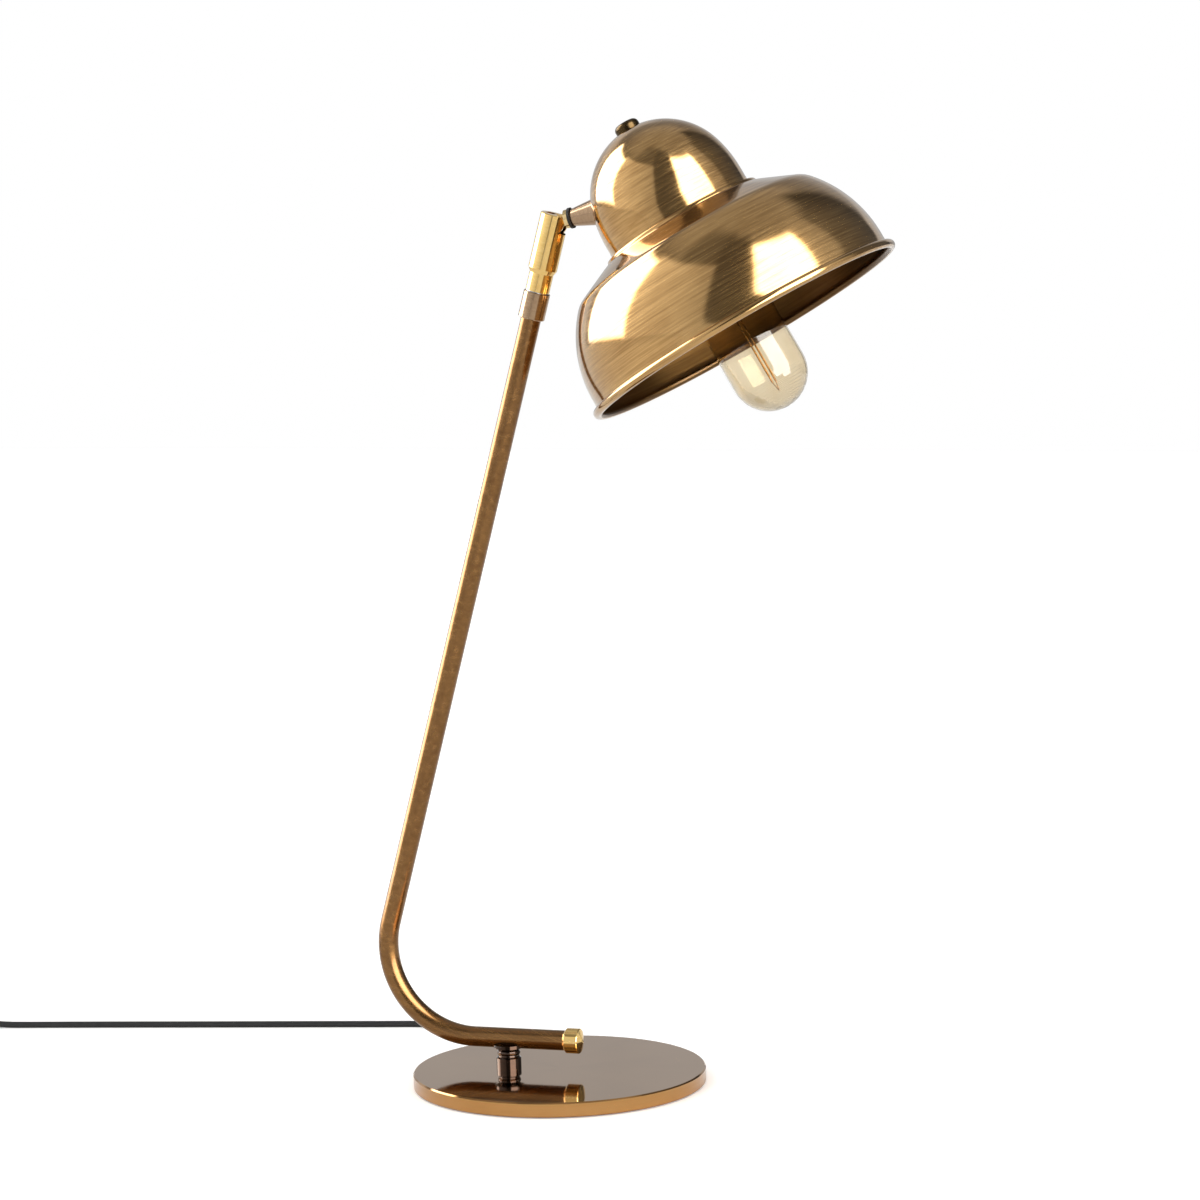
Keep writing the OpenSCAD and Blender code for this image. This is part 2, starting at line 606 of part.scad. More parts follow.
// Arm
module arm_tongue() color("#e2cf9a") arm_frame() difference() {
  union() {
    translate([0, tongue_t/2, 0]) rotate([90, 0, 0]) cylinder(r = eye_r, h = tongue_t);
    translate([-tongue_h/2, -tongue_t/2, 0]) cube([tongue_h, tongue_t, flange_at]);
    translate([0, 0, flange_at]) cylinder(d = flange_d, h = flange_t);
    translate([0, 0, seal_at]) cylinder(d = arm_stud_d, h = arm_stud_end - seal_at);
  }
  translate([0, tongue_t, 0]) rotate([90, 0, 0]) cylinder(d = pin_d + 2*run_c, h = 2*tongue_t);
  translate([0, 0, flange_at]) cylinder(d = arm_bore, h = arm_stud_end);
  translate([0, 0, 5.2]) cylinder(d = lead_d + 0.2, h = 10);
  translate([0, 0, 6.6]) rotate([-90, 0, 0]) cylinder(d = 2.4, h = 10);
}

module arm_ring() color("#141414") arm_frame() translate([0, 0, seal_at]) ring(seal_d, arm_stud_d + 0.2, seal_t);

module arm_cone() color("#c2a58c") difference() {
  arm_frame() translate([0, 0, cone_at]) difference() {
    cylinder(d1 = cone_d1, d2 = cone_d2 + cone_grow(), h = shell_at - cone_at + 4);
    translate([0, 0, -1]) cylinder(d = arm_stud_d + 0.2, h = 40);
  }
  shade_frame() dome_solid(0);
}
// The cone keeps its slope past the dome's face, where the dome cuts it
function cone_grow() = (cone_d2 - cone_d1)*4/(shell_at - cone_at);

module arm_washer() color("#a6a9ab") intersection() {
  arm_frame() translate([0, 0, inner_at - 3]) difference() {
    cylinder(d = arm_washer_d, h = 3 + arm_washer_t);
    translate([0, 0, -1]) cylinder(d = arm_stud_d + 0.2, h = 10);
  }
  shade_frame() dome_solid(shell_t);
}

module arm_nut() color("#b5a070") arm_frame() translate([0, 0, arm_nut_at]) difference() {
  cylinder(d = arm_nut_af/cos(30), h = arm_nut_t, $fn = 6);
  translate([0, 0, -1]) cylinder(d = arm_stud_d + 2*fit_c, h = arm_nut_t + 2);
}

// Shade
function dome_line(t) = concat([[dome_r - t, dome_wall_top]],
  arc([dome_side_cx, dome_wall_top], dome_side_r - t, 0, dome_side_turn, 6),
  arc([0, dome_c], dome_top_r - t, dome_side_turn + 4, 86, 19));
module dome_solid(t) rotate_extrude($fn = 128)
  polygon(concat([[0, ledge_s + 1]], [[dome_r - t, ledge_s + 1]], dome_line(t), [[0, apex - t]]));

module dome_shell() color("#6b5030") difference() {
  shade_frame() difference() {
    rotate_extrude($fn = 128) polygon(concat([[dome_r - shell_t, ledge_s], [dome_r + lip_w, ledge_s],
      [dome_r + lip_w, ledge_s + lip_h - 0.2], [dome_r, ledge_s + lip_h]], dome_line(0), [[0, apex], [0, apex - shell_t]],
      [for (i = [len(dome_line(0)) - 1:-1:0]) dome_line(shell_t)[i]]));
    translate([0, 0, apex - 10]) cylinder(d = nipple_d + 0.2, h = 20);
  }
  arm_frame() translate([0, 0, shell_at - 5]) cylinder(d = arm_stud_d + 0.2, h = 12);
}

function bowl_line(t) = concat([[bowl_r - t, bowl_wall_h]],
  arc([side_cx, bowl_wall_h], side_r - t, 3.4, side_turn, 11),
  arc(shoulder_c, shoulder_r - t, side_turn + 6, shoulder_turn, 4));
module bowl_shell() color("#6b5030") shade_frame() {
  in_line = bowl_line(shell_t);
  in_r = in_line[len(in_line) - 1][0] - (ledge_s - shell_t - in_line[len(in_line) - 1][1])/slope;
  up_r = dome_r - shell_t - neck_c;
  rotate_extrude($fn = 128) polygon(concat([[bowl_r - shell_t, bead_r], [bowl_r, bead_r]], bowl_line(0),
    [[ledge_r, slope_top], [ledge_r - crease_w, ledge_s], [up_r, ledge_s], [up_r, ledge_s + neck_h],
    [up_r - shell_t, ledge_s + neck_h], [up_r - shell_t, ledge_s - shell_t], [in_r, ledge_s - shell_t]],
    [for (i = [len(in_line) - 1:-1:0]) in_line[i]]));
  rotate_extrude($fn = 128) translate(bead_c) circle(r = bead_r, $fn = 32);
}

module cap_nut() color("#3a2c22") shade_frame() difference() {
  rotate_extrude() polygon(concat([[0, apex - 3], [nut_d/2, apex - 3]],
    arc([nut_d/2 - nut_round, nut_top - nut_round], nut_round, 0, 80, 8), [[0, nut_top]]));
  dome_solid(0);
  translate([0, 0, apex - 10]) cylinder(d = nipple_d + 2*fit_c, h = 10 + nut_h - 2.4);
}

// Lampholder
module holder_nipple() color("#b5a070") shade_frame() translate([0, 0, nipple_low])
  ring(nipple_d, nipple_bore, apex + nut_h - 2.8 - nipple_low);

module nipple_washer() color("#a6a9ab") shade_frame() intersection() {
  translate([0, 0, nipple_washer_s]) ring(nipple_washer_d, nipple_d + 0.2, 6);
  dome_solid(shell_t);
}

module nipple_locknut() color("#b5a070") shade_frame() translate([0, 0, nipple_washer_s - locknut_t]) difference() {
  cylinder(d = locknut_af/cos(30), h = locknut_t, $fn = 6);
  translate([0, 0, -1]) cylinder(d = nipple_d + 2*fit_c, h = locknut_t + 2);
}

module holder_cap() color("#2a2622") difference() {
  shade_frame() translate([0, 0, holder_top]) difference() {
    rotate_extrude() polygon([[0, 0], [holder_d/2, 0], [holder_d/2, 5], [9, holder_cap_h], [0, holder_cap_h]]);
    rotate_extrude() polygon([[0, -1], [holder_d/2 - holder_wall, -1], [holder_d/2 - holder_wall, 4.4],
      [7.4, holder_cap_h - 3], [0, holder_cap_h - 3]]);
    translate([0, 0, -1]) cylinder(d = nipple_d + 2*fit_c, h = 30);
  }
  lead_way();
}
// The hole that the lead comes in by
module lead_way() arm_frame() translate([0, 0, inner_at + 6]) cylinder(d = lead_hole_d, h = arm_len - inner_at - 6);

module holder_body() color("#2a2622") difference() {
  shade_frame() translate([0, 0, holder_mouth]) difference() {
    cylinder(d = holder_d, h = holder_len);
    translate([0, 0, 2.2]) cylinder(d = holder_d - 2*holder_wall, h = holder_len);
    translate([0, 0, -1]) cylinder(d = bulb_cap_d + 4, h = 10);
  }
  lead_way();
}

module holder_insert() color("#e8e4da") difference() {
  shade_frame() difference() {
    translate([0, 0, thread_low]) cylinder(d = insert_d, h = insert_top - thread_low);
    translate([0, 0, thread_low - 1]) cylinder(d = thread_d + 2*thread_wall + 0.1, h = insert_floor - thread_low + 1);
    for (s = [-1, 1]) translate([s*8, 0, thread_low]) cylinder(d = 2.4, h = 60);
  }
  lead_way();
}

module holder_thread() color("#cfae62") shade_frame() translate([0, 0, thread_low])
  ring(thread_d + 2*thread_wall, thread_d, thread_top - thread_low);

module holder_contact() color("#cfae62") shade_frame() {
  translate([-3, -4, insert_floor - 0.6]) cube([6, 8, 0.6]);
  translate([-3, -4, bulb_contact_s + 0.05]) cube([6, 0.6, insert_floor - bulb_contact_s - 0.1]);
  translate([-3, -4, bulb_contact_s + 0.05]) cube([6, 6, 0.6]);
}

module head_lead() color("#1a1a1a") arm_frame() translate([0, 0, 7]) cylinder(d = lead_d, h = lead_end - 7);

// Bulb
function glass_line(t) = concat(arc([0, bulb_round], bulb_r - t, -85, 0, 16), [[bulb_r - t, shoulder_s]],
  arc([bulb_r - 6, shoulder_s], 6 - t, 10, 50, 3), [[glass_neck_r - t + 1.2, cap_low - 2.4], [glass_neck_r - t, cap_low - 0.4],
  [glass_neck_r - t, glass_neck_s]]);
module bulb_glass() color("#e6c98a") shade_frame() rotate_extrude($fn = 96)
  polygon(concat([[0, glass_t - bulb_out], [0, -bulb_out]], glass_line(0),
    [for (i = [len(glass_line(0)) - 1:-1:0]) glass_line(glass_t)[i]]));

module bulb_cap() color("#cdb27a") shade_frame() difference() {
  union() {
    translate([0, 0, cap_low]) cylinder(d = bulb_cap_d, h = cap_high - cap_low - 1);
    translate([0, 0, cap_high - 1]) cylinder(d1 = bulb_cap_d, d2 = bulb_cap_d - 3, h = 1);
  }
  translate([0, 0, cap_low - 1]) cylinder(r = glass_neck_r + 0.1, h = cap_high - cap_low);
}

module bulb_insulator() color("#111111") shade_frame() translate([0, 0, cap_high])
  cylinder(d1 = bulb_cap_d - 4, d2 = 11, h = insulator_top - cap_high);

module bulb_contact() color("#c9ccce") shade_frame() translate([0, 0, insulator_top])
  cylinder(d1 = 10, d2 = 7, h = bulb_contact_s - insulator_top);

module bulb_mount() color("#d9c8a0") shade_frame() {
  translate([0, 0, glass_neck_s - 6]) cylinder(r = glass_neck_r - glass_t - 0.05, h = 6);
  translate([0, 0, mount_low + 10]) cylinder(r1 = mount_r, r2 = glass_neck_r - glass_t - 3, h = glass_neck_s - 6 - mount_low - 10);
  translate([0, 0, mount_low]) cylinder(r = mount_r, h = 10);
}

// Two gold rods down the middle of the bulb, and a thin hooked wire that joins their ends
module bulb_supports() color("#d9a441") shade_frame() for (s = [-1, 1])
  translate([s*rod_r, 0, rod_low]) cylinder(d = rod_d, h = mount_low - rod_low, $fn = 24);

module bulb_filament() color("#c98a2e") shade_frame() {
  for (s = [-1, 1]) translate([s*rod_r, 0, rod_low]) rotate([0, 180 + s*atan(rod_r/(rod_low - hook_s)), 0])
    cylinder(d = wire_d, h = norm([rod_r, rod_low - hook_s]), $fn = 16);
  translate([0, 0, hook_s]) sphere(d = wire_d + 0.1, $fn = 16);
}

// Cord
run_path = spline(concat([[exit_p[0], exit_p[1], way_z], [exit_p[0] + 8*way_dir[0], exit_p[1] + 8*way_dir[1], 4.2]],
  run_pts, [[switch_p[0], switch_p[1], switch_z]]), exit_t, switch_dir, 3);
module cord_run() color("#141414") sweep(run_path, cord_d/2, 10, exit_t, switch_dir);

// The coil winds in and out at a steady rate and climbs where it reverses
coil_per = coil_turns/coil_layers;
function tri(x) = 1 - abs(x - 2*floor(x/2) - 1);
function climb(t) = min(1, max(0, t));
function coil_at(t) = let (r = coil_r - coil_step*coil_per*tri(t/coil_per), a = coil_start + 360*t)
  [coil_c[0] + r*cos(a), coil_c[1] + r*sin(a),
   coil_z + coil_step*(climb((t - coil_per)*2 + 0.5) + climb((t - 2*coil_per)*2 + 0.5) + climb((t - 3*coil_per)*2 + 0.5))];
coil_n = round(coil_turns*coil_rings);
coil_wind = [for (i = [0:coil_n]) coil_at(coil_turns*i/coil_n)];
coil_t0 = unit(coil_wind[1] - coil_wind[0] + (coil_wind[0] - coil_wind[1])*0.0 - [0, 0, coil_wind[1][2] - coil_wind[0][2]]);
coil_t1 = unit(coil_wind[coil_n] - coil_wind[coil_n - 1]);
coil_in = coil_wind[0] - cord_d*coil_t0;
coil_out = coil_wind[coil_n] + cord_d*coil_t1;
coil_path = concat([coil_in], coil_wind, [coil_out]);
module cord_coil() color("#141414") sweep(coil_path, cord_d/2, 6, coil_t0, coil_t1);
// The least distance between turns that lie more than half a loop apart
coil_gap = min([for (i = [0:2:coil_n]) for (j = [i + 13:1:min(coil_n, i + 130)]) norm(coil_wind[i] - coil_wind[j])]) - cord_d;

link_path = spline(concat([[switch_p[0] + switch_len*switch_dir[0], switch_p[1] + switch_len*switch_dir[1], switch_z]],
  link_pts, [coil_in]), switch_dir, coil_t0, 4);
module cord_link() color("#141414") sweep(link_path, cord_d/2, 10, switch_dir, coil_t0);

tail_path = spline(concat([coil_out], tail_pts, [[plug_p[0], plug_p[1], plug_z]]), coil_t1, [1, 0, 0], 4);
module cord_tail() color("#141414") sweep(tail_path, cord_d/2, 10, coil_t1, [1, 0, 0]);
cord_len = run_len(run_path) + switch_len + run_len(link_path) + run_len(coil_path) + run_len(tail_path);

// A band of wire round the coil, twisted on the outside
module cord_tie() color("#202020") {
  r_in = coil_r - coil_step*coil_per - cord_d/2 - tie_c;
  r_out = coil_r + cord_d/2 + tie_c;
  low = coil_z - cord_d/2 - 0.1;
  high = coil_z + coil_step*(coil_layers - 1) + cord_d/2 + tie_c;
  translate([coil_c[0], coil_c[1], 0]) rotate([0, 0, tie_a]) {
    difference() {
      translate([r_in - tie_t, -tie_w/2, low - tie_t]) cube([r_out - r_in + 2*tie_t, tie_w, high - low + 2*tie_t]);
      translate([r_in, -tie_w, low]) cube([r_out - r_in, 2*tie_w, high - low]);
    }
    translate([r_out + tie_t, -1, high - 8]) cube([10, 2, 1.6]);
  }
}

// In-line switch: x runs along the cord, the split is at the cord's height
rocker_x = switch_len/2;
rocker_z = switch_h - 2.6;
rocker_tilt = 7;
rocker_half = 9;
rocker_t = 10.4;
window_half = rocker_half + 0.7;
window_w = rocker_t + 0.5;
rocker_pin_d = 2.4;
screw_at = [switch_len/2 - 8, switch_w/2 - 4.5];
// Where the room for the contacts starts, from each end
room_end = 10.5;
module cord_holes() for (s = [0, 1]) translate([s*(switch_len - 13) - (s == 0 ? 1 : 0), 0, switch_z])
  rotate([0, 90, 0]) cylinder(d = cord_d + 2*fit_c, h = 14);
module switch_base() color("#151515") switch_frame() difference() {
  union() {
    translate([switch_len/2, 0, 0]) linear_extrude(switch_z) polygon(rrect(switch_len, switch_w, 7));
    for (s = [-1, 1]) translate([rocker_x - 1.4, s*(window_w/2 + 1.5) - 1.1, switch_z - 1])
      cube([2.8, 2.2, rocker_z - rocker_pin_d/2 - switch_z + 1]);
  }
  cord_holes();
  translate([room_end, -window_w/2, 1.8]) cube([switch_len - 2*room_end, window_w, 20]);
  for (s = [-1, 1]) translate([switch_len/2 + s*screw_at[0], s*screw_at[1], -1]) {
    cylinder(d = 5.2, h = 3);
    cylinder(d = 3, h = 20);
  }
}
module switch_cover() color("#151515") switch_frame() difference() {
  translate([switch_len/2, 0, switch_z]) {
    linear_extrude(switch_h - switch_z - 1.2) polygon(rrect(switch_len, switch_w, 7));
    translate([0, 0, switch_h - switch_z - 1.2]) linear_extrude(1.2) polygon(rrect(switch_len - 2.4, switch_w - 2.4, 5.8));
  }
  cord_holes();
  translate([rocker_x - window_half, -window_w/2, 0]) cube([2*window_half, window_w, 30]);
  translate([room_end, -4, 0]) cube([switch_len - 2*room_end, 8, switch_z + 2.4]);
  for (s = [-1, 1]) translate([rocker_x - 1.5, s*(window_w/2 + 1.5) - 1.6, 0]) cube([3, 3.2, rocker_z]);
  translate([rocker_x, window_w/2 + 3.1, rocker_z]) rotate([90, 0, 0]) cylinder(d = 3, h = window_w + 6.2);
  for (s = [-1, 1]) translate([switch_len/2 + s*screw_at[0], s*screw_at[1], 0]) cylinder(d = 2.6, h = switch_h - 4);
}
module switch_rocker() color("#151515") switch_frame() translate([rocker_x, 0, rocker_z]) rotate([0, rocker_tilt, 0])
  rotate([90, 0, 0]) translate([0, 0, -rocker_t/2]) difference() {
    linear_extrude(rocker_t) polygon([[-rocker_half, -1.6], [-rocker_half, 2.4], [0, 1.4], [rocker_half, 2.4],
      [rocker_half, -1.6], [3, -4], [-3, -4]]);
    translate([0, 0, -1]) cylinder(d = rocker_pin_d + 2*run_c, h = rocker_t + 2);
  }
module rocker_pin() color("#b9b9b9") switch_frame() translate([rocker_x, window_w/2 + 2.6, rocker_z])
  rotate([90, 0, 0]) cylinder(d = rocker_pin_d, h = window_w + 5.2);
module switch_screws() color("#b0b3b6") switch_frame()
  for (s = [-1, 1]) translate([switch_len/2 + s*screw_at[0], s*screw_at[1], 0]) {
    translate([0, 0, 0.4]) cylinder(d = 5, h = 1.6);
    translate([0, 0, 2]) cylinder(d = 2.5, h = switch_h - 7);
  }
module switch_leads() color("#a33b2a") switch_frame() {
  for (s = [0, 1]) translate([s*(switch_len - 12), 0, switch_z]) rotate([0, 90, 0]) cylinder(d = cord_d, h = 12);
  translate([11, -3.4, 1.8]) cube([switch_len - 22, 1.6, 1.6]);
  translate([11, -3.4, 1.8]) cube([2, 1.6, switch_z]);
  translate([switch_len - 13, -3.4, 1.8]) cube([2, 1.6, switch_z]);
}

// Flat two-pin plug, lying on its side face
module plug_body() color("#151515") plug_frame() difference() {
  union() {
    translate([relief_len, 0, 0]) linear_extrude(plug_t) polygon([[0, -7], [0, 7], [8, plug_w/2 - 1.5], [11, plug_w/2],
      [plug_len - 6, plug_w/2 - 3], [plug_len, plug_w/2 - 4.4], [plug_len, 4.4 - plug_w/2], [plug_len - 6, 3 - plug_w/2],
      [11, -plug_w/2], [8, 1.5 - plug_w/2]]);
    translate([0, 0, plug_z]) rotate([0, 90, 0]) cylinder(d1 = 6.4, d2 = 9, h = relief_len + 1);
  }
  for (s = [-1, 1]) translate([relief_len + plug_len - 12, s*plug_pin_half, plug_z]) rotate([0, 90, 0])
    cylinder(d = plug_pin_d + 2*fit_c, h = 20);
}
module plug_pins() color("#c9ccce") plug_frame() for (s = [-1, 1])
  translate([relief_len + plug_len - 12, s*plug_pin_half, plug_z]) rotate([0, 90, 0]) {
    cylinder(d = plug_pin_d, h = 11 + plug_pin_len);
    translate([0, 0, 11 + plug_pin_len]) cylinder(d1 = plug_pin_d, d2 = plug_pin_d - 1.6, h = 1);
  }

echo(coil_gap = coil_gap, cord_len = cord_len, pivot = pivot, rim_centre = rim_centre, bend_x = bend_x);

base_plate();
base_pad();
cord_grommet();
cord_clamp();
clamp_screws();
neck_ring();
neck_saddle();
neck_stud();
stud_washer();
stud_nut();
foot_tube();
bend_tube();
stem_tube();
stem_end_cap();
stem_collar();
collar_screw();
stem_lead();
swivel_washer();
swivel_post();
swivel_nut();
knuckle_body();
knuckle_screw();
arm_tongue();
arm_ring();
arm_cone();
arm_washer();
arm_nut();
dome_shell();
bowl_shell();
cap_nut();
holder_nipple();
nipple_washer();
nipple_locknut();
holder_cap();
holder_body();
holder_insert();
holder_thread();
holder_contact();
head_lead();
bulb_glass();
bulb_cap();
bulb_insulator();
bulb_contact();
bulb_mount();
bulb_supports();
bulb_filament();
cord_run();
cord_link();
cord_coil();
cord_tail();
cord_tie();
switch_base();
switch_cover();
switch_rocker();
rocker_pin();
switch_screws();
switch_leads();
plug_body();
plug_pins();
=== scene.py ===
import math
import bmesh
import bpy
from mathutils import Matrix, Vector


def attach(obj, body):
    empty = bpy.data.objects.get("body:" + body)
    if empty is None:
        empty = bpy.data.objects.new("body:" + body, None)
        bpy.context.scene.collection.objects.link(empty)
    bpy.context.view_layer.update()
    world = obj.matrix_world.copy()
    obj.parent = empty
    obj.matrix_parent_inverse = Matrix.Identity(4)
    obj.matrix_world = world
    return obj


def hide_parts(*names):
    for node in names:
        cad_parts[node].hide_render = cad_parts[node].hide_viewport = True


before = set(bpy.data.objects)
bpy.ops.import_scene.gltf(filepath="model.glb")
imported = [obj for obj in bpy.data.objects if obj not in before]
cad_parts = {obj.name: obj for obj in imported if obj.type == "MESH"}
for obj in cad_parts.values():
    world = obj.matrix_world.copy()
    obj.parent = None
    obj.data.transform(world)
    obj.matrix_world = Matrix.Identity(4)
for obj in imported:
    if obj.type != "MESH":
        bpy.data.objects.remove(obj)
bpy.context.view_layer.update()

MM = 0.001

# Foot
NECK_X = -32
FOOT_Z = 26.5
FOOT_END = 4
# Tube
TUBE_D = 12
TUBE_WALL = 1
BEND_R = 54
BEND_X = -52.9373
LEAN = 15.5
BEND_TURN = 90 + LEAN
STEM_X = -131.3
STEM_STATIONS = (140, 240, 340, 440, 485)
# Arm
PIVOT = (11.0846, 0, 513.422)
ARM_TILT = 12.4
# Shade, as radius and height above the rim's plane
SHADE_LEAN = 30
RIM_CENTRE = (126.706, 0, 447.846)
SHELL_T = 0.9
BEAD_R = 2.6
BEAD_OUT = 1.3
BOWL_R = 95.9
BOWL_WALL_H = 10.8
SIDE_R = 73.85
SIDE_TURN = 40.8
SHOULDER_R = 16
SHOULDER_TURN = 65
LEDGE_W = 4.5
CREASE_H = 1.4
CREASE_W = 0.5
NECK_H = 6.5
NECK_GAP = 0.05
LIP_W = 0.7
LIP_H = 0.8
DOME_R = 45
DOME_WALL_H = 9.1
DOME_SIDE_R = 73.46
DOME_SIDE_TURN = 17.3
DOME_HOLE_TURN = 83.2
# Cord route, on the cord's axis
CORD_D = 4
WAY_Z = 5
WAY_A = 120
GLAND_W = 65.375
SETTLE_Z = 4.2
SETTLE_W = 8
RUN_POINTS = [(-76, 76, 2.76), (-84, 90, 2), (-95, 105, 2), (-110, 117, 2), (-124, 125, 2),
              (-138, 126.6, 2), (-160, 122, 2), (-212, 111, 2), (-276, 97.4, 2), (-340, 84, 2),
              (-396, 72, 2), (-414, 68.2, 3.4)]
SWITCH_A = 192
SWITCH_P = (-430, 64.8, 6)
SWITCH_LEN = 60
LINK_POINTS = [(-505, 47, 3.6), (-513, 38, 2.6)]
COIL_C = (-488, -4)
COIL_R = 28.5
COIL_TURNS = 9.25
COIL_LAYERS = 4
COIL_STEP = 4.55
COIL_RINGS = 24
COIL_START = 180
COIL_Z = 3
TAIL_POINTS = [(-466, -33.6, 13.4), (-451, -34, 9)]
PLUG_P = (-438, -34, 6.85)
# Camera, fitted to the foot's rim, the tube and the shade's two rims together
CAMERA_P = (834.65, -2399.08, 607.74)
CAMERA_TURN = 18.468
CAMERA_DIP = 7.116
CAMERA_ROLL = 1.553
CAMERA_LENS = 130.215


def heading(angle):
    """The level direction at an angle from +X, in degrees."""
    return Vector((math.cos(math.radians(angle)), math.sin(math.radians(angle)), 0))


def add_camera():
    """The photograph's viewpoint: turned to the right of the front, dipped and a little rolled."""
    turn = math.radians(CAMERA_TURN)
    dip = math.radians(CAMERA_DIP)
    roll = math.radians(CAMERA_ROLL)
    ahead = Vector((-math.sin(turn) * math.cos(dip), math.cos(turn) * math.cos(dip), -math.sin(dip)))
    side = Vector((math.cos(turn), math.sin(turn), 0))
    up = side.cross(ahead)
    side_rolled = math.cos(roll) * side - math.sin(roll) * up
    up_rolled = math.sin(roll) * side + math.cos(roll) * up
    camera = bpy.data.objects.new("camera", bpy.data.cameras.new("camera"))
    camera.data.lens = CAMERA_LENS
    camera.data.sensor_width = 36
    camera.data.clip_end = 20
    camera.matrix_world = Matrix((side_rolled, up_rolled, -ahead)).transposed().to_4x4()
    camera.matrix_world.translation = Vector(CAMERA_P) * MM
    bpy.context.scene.collection.objects.link(camera)
    bpy.context.scene.camera = camera


def spline(points, first, last, per_span):
    """A smooth line through points, which sets out along one direction and arrives along another."""
    points = [Vector(p) for p in points]
    end = len(points) - 1
    slopes = []
    for i, p in enumerate(points):
        if i == 0:
            slopes.append(first * (points[1] - p).length)
        elif i == end:
            slopes.append(last * (p - points[i - 1]).length)
        else:
            reach = min((points[i + 1] - p).length, (p - points[i - 1]).length)
            slopes.append((points[i + 1] - points[i - 1]).normalized() * reach)
    line = []
    for i in range(end):
        for j in range(per_span):
            t = j / per_span
            line.append((2 * t**3 - 3 * t**2 + 1) * points[i] + (t**3 - 2 * t**2 + t) * slopes[i]
                        + (3 * t**2 - 2 * t**3) * points[i + 1] + (t**3 - t**2) * slopes[i + 1])
    return line + [points[end]]


def coil_point(turn):
    """A point of the wound cord. It winds in and out at a steady rate and climbs where it reverses."""
    per_layer = COIL_TURNS / COIL_LAYERS
    wave = turn / per_layer
    inward = 1 - abs(wave - 2 * math.floor(wave / 2) - 1)
    radius = COIL_R - COIL_STEP * per_layer * inward
    climbs = sum(min(1, max(0, (turn - layer * per_layer) * 2 + 0.5)) for layer in range(1, COIL_LAYERS))
    out = radius * heading(COIL_START + 360 * turn)
    return Vector((COIL_C[0] + out.x, COIL_C[1] + out.y, COIL_Z + COIL_STEP * climbs))


def cord_route():
    """From the rear of the foot to the left, through the switch, into the coil and out to the plug."""
    leave = heading(WAY_A)
    along_switch = heading(SWITCH_A)
    start = Vector((NECK_X, 0, WAY_Z)) + GLAND_W * leave
    settle = Vector((start.x, start.y, SETTLE_Z)) + SETTLE_W * leave
    switch_in = Vector(SWITCH_P)
    switch_out = switch_in + SWITCH_LEN * along_switch
    count = round(COIL_TURNS * COIL_RINGS)
    wound = [coil_point(COIL_TURNS * i / count) for i in range(count + 1)]
    coil_first = wound[1] - wound[0]
    coil_first.z = 0
    coil_first.normalize()
    coil_last = (wound[-1] - wound[-2]).normalized()
    coil_in = wound[0] - CORD_D * coil_first
    coil_out = wound[-1] + CORD_D * coil_last
    run = spline([start, settle] + RUN_POINTS + [switch_in], leave, along_switch, 3)
    link = spline([switch_out] + LINK_POINTS + [coil_in], along_switch, coil_first, 4)
    tail = spline([coil_out] + TAIL_POINTS + [PLUG_P], coil_last, Vector((1, 0, 0)), 4)
    return run + link + wound + tail


def add_cord():
    route = cord_route()
    curve = bpy.data.curves.new("mains_cord", "CURVE")
    curve.dimensions = "3D"
    curve.bevel_depth = 1
    curve.bevel_resolution = 3
    curve.use_fill_caps = True
    line = curve.splines.new("POLY")
    line.points.add(len(route) - 1)
    for point, place in zip(line.points, route):
        point.co = (*(place * MM), 1)
        point.radius = CORD_D / 2 * MM
    line.use_smooth = True
    cord = bpy.data.objects.new("mains_cord", curve)
    bpy.context.scene.collection.objects.link(cord)
    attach(cord, "stand")
    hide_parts("cord_run", "cord_link", "cord_coil", "cord_tail")


# Shapes
def upright(x, y, z, lean=0):
    """Where a turned part stands: its axis leans from +Z towards +X, in degrees."""
    return Matrix.Translation(Vector((x, y, z)) * MM) @ Matrix.Rotation(math.radians(lean), 4, "Y")


stem_place = upright(STEM_X, 0, 0, LEAN)
shade_place = upright(*RIM_CENTRE, -SHADE_LEAN)


def arc(centre, radius, first, last, steps):
    """Points on an arc in a section, between two angles in degrees."""
    turns = [math.radians(first + (last - first) * i / steps) for i in range(steps + 1)]
    return [(centre[0] + radius * math.cos(a), centre[1] + radius * math.sin(a)) for a in turns]


def keep_mesh(name, mesh, body, nodes):
    """Makes a piece of a finished mesh that rides on a body in place of some CAD nodes."""
    data = bpy.data.meshes.new(name)
    bmesh.ops.recalc_face_normals(mesh, faces=mesh.faces)
    mesh.to_mesh(data)
    mesh.free()
    data.shade_smooth()
    data.set_sharp_from_angle(angle=math.radians(32))
    piece = bpy.data.objects.new(name, data)
    bpy.context.scene.collection.objects.link(piece)
    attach(piece, body)
    if nodes:
        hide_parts(*nodes)
    return piece


def turned(name, section, place, body, nodes, steps, inside, lip=0):
    """A part turned on a lathe: its closed section (r, z) goes round the axis of its place.
    Faces before the section's point number lip, and from number inside on, get the second material."""
    mesh = bmesh.new()
    rings = []
    for r, z in section:
        around = [math.tau * k / steps for k in range(steps)]
        ring = [Vector((r * math.cos(a), r * math.sin(a), z)) * MM for a in around]
        rings.append([mesh.verts.new(place @ point) for point in ring])
    for number, (low, high) in enumerate(zip(rings, rings[1:] + rings[:1])):
        for k in range(steps):
            after = (k + 1) % steps
            face = mesh.faces.new((low[k], low[after], high[after], high[k]))
            face.material_index = int(not lip <= number < inside)
    return keep_mesh(name, mesh, body, nodes)


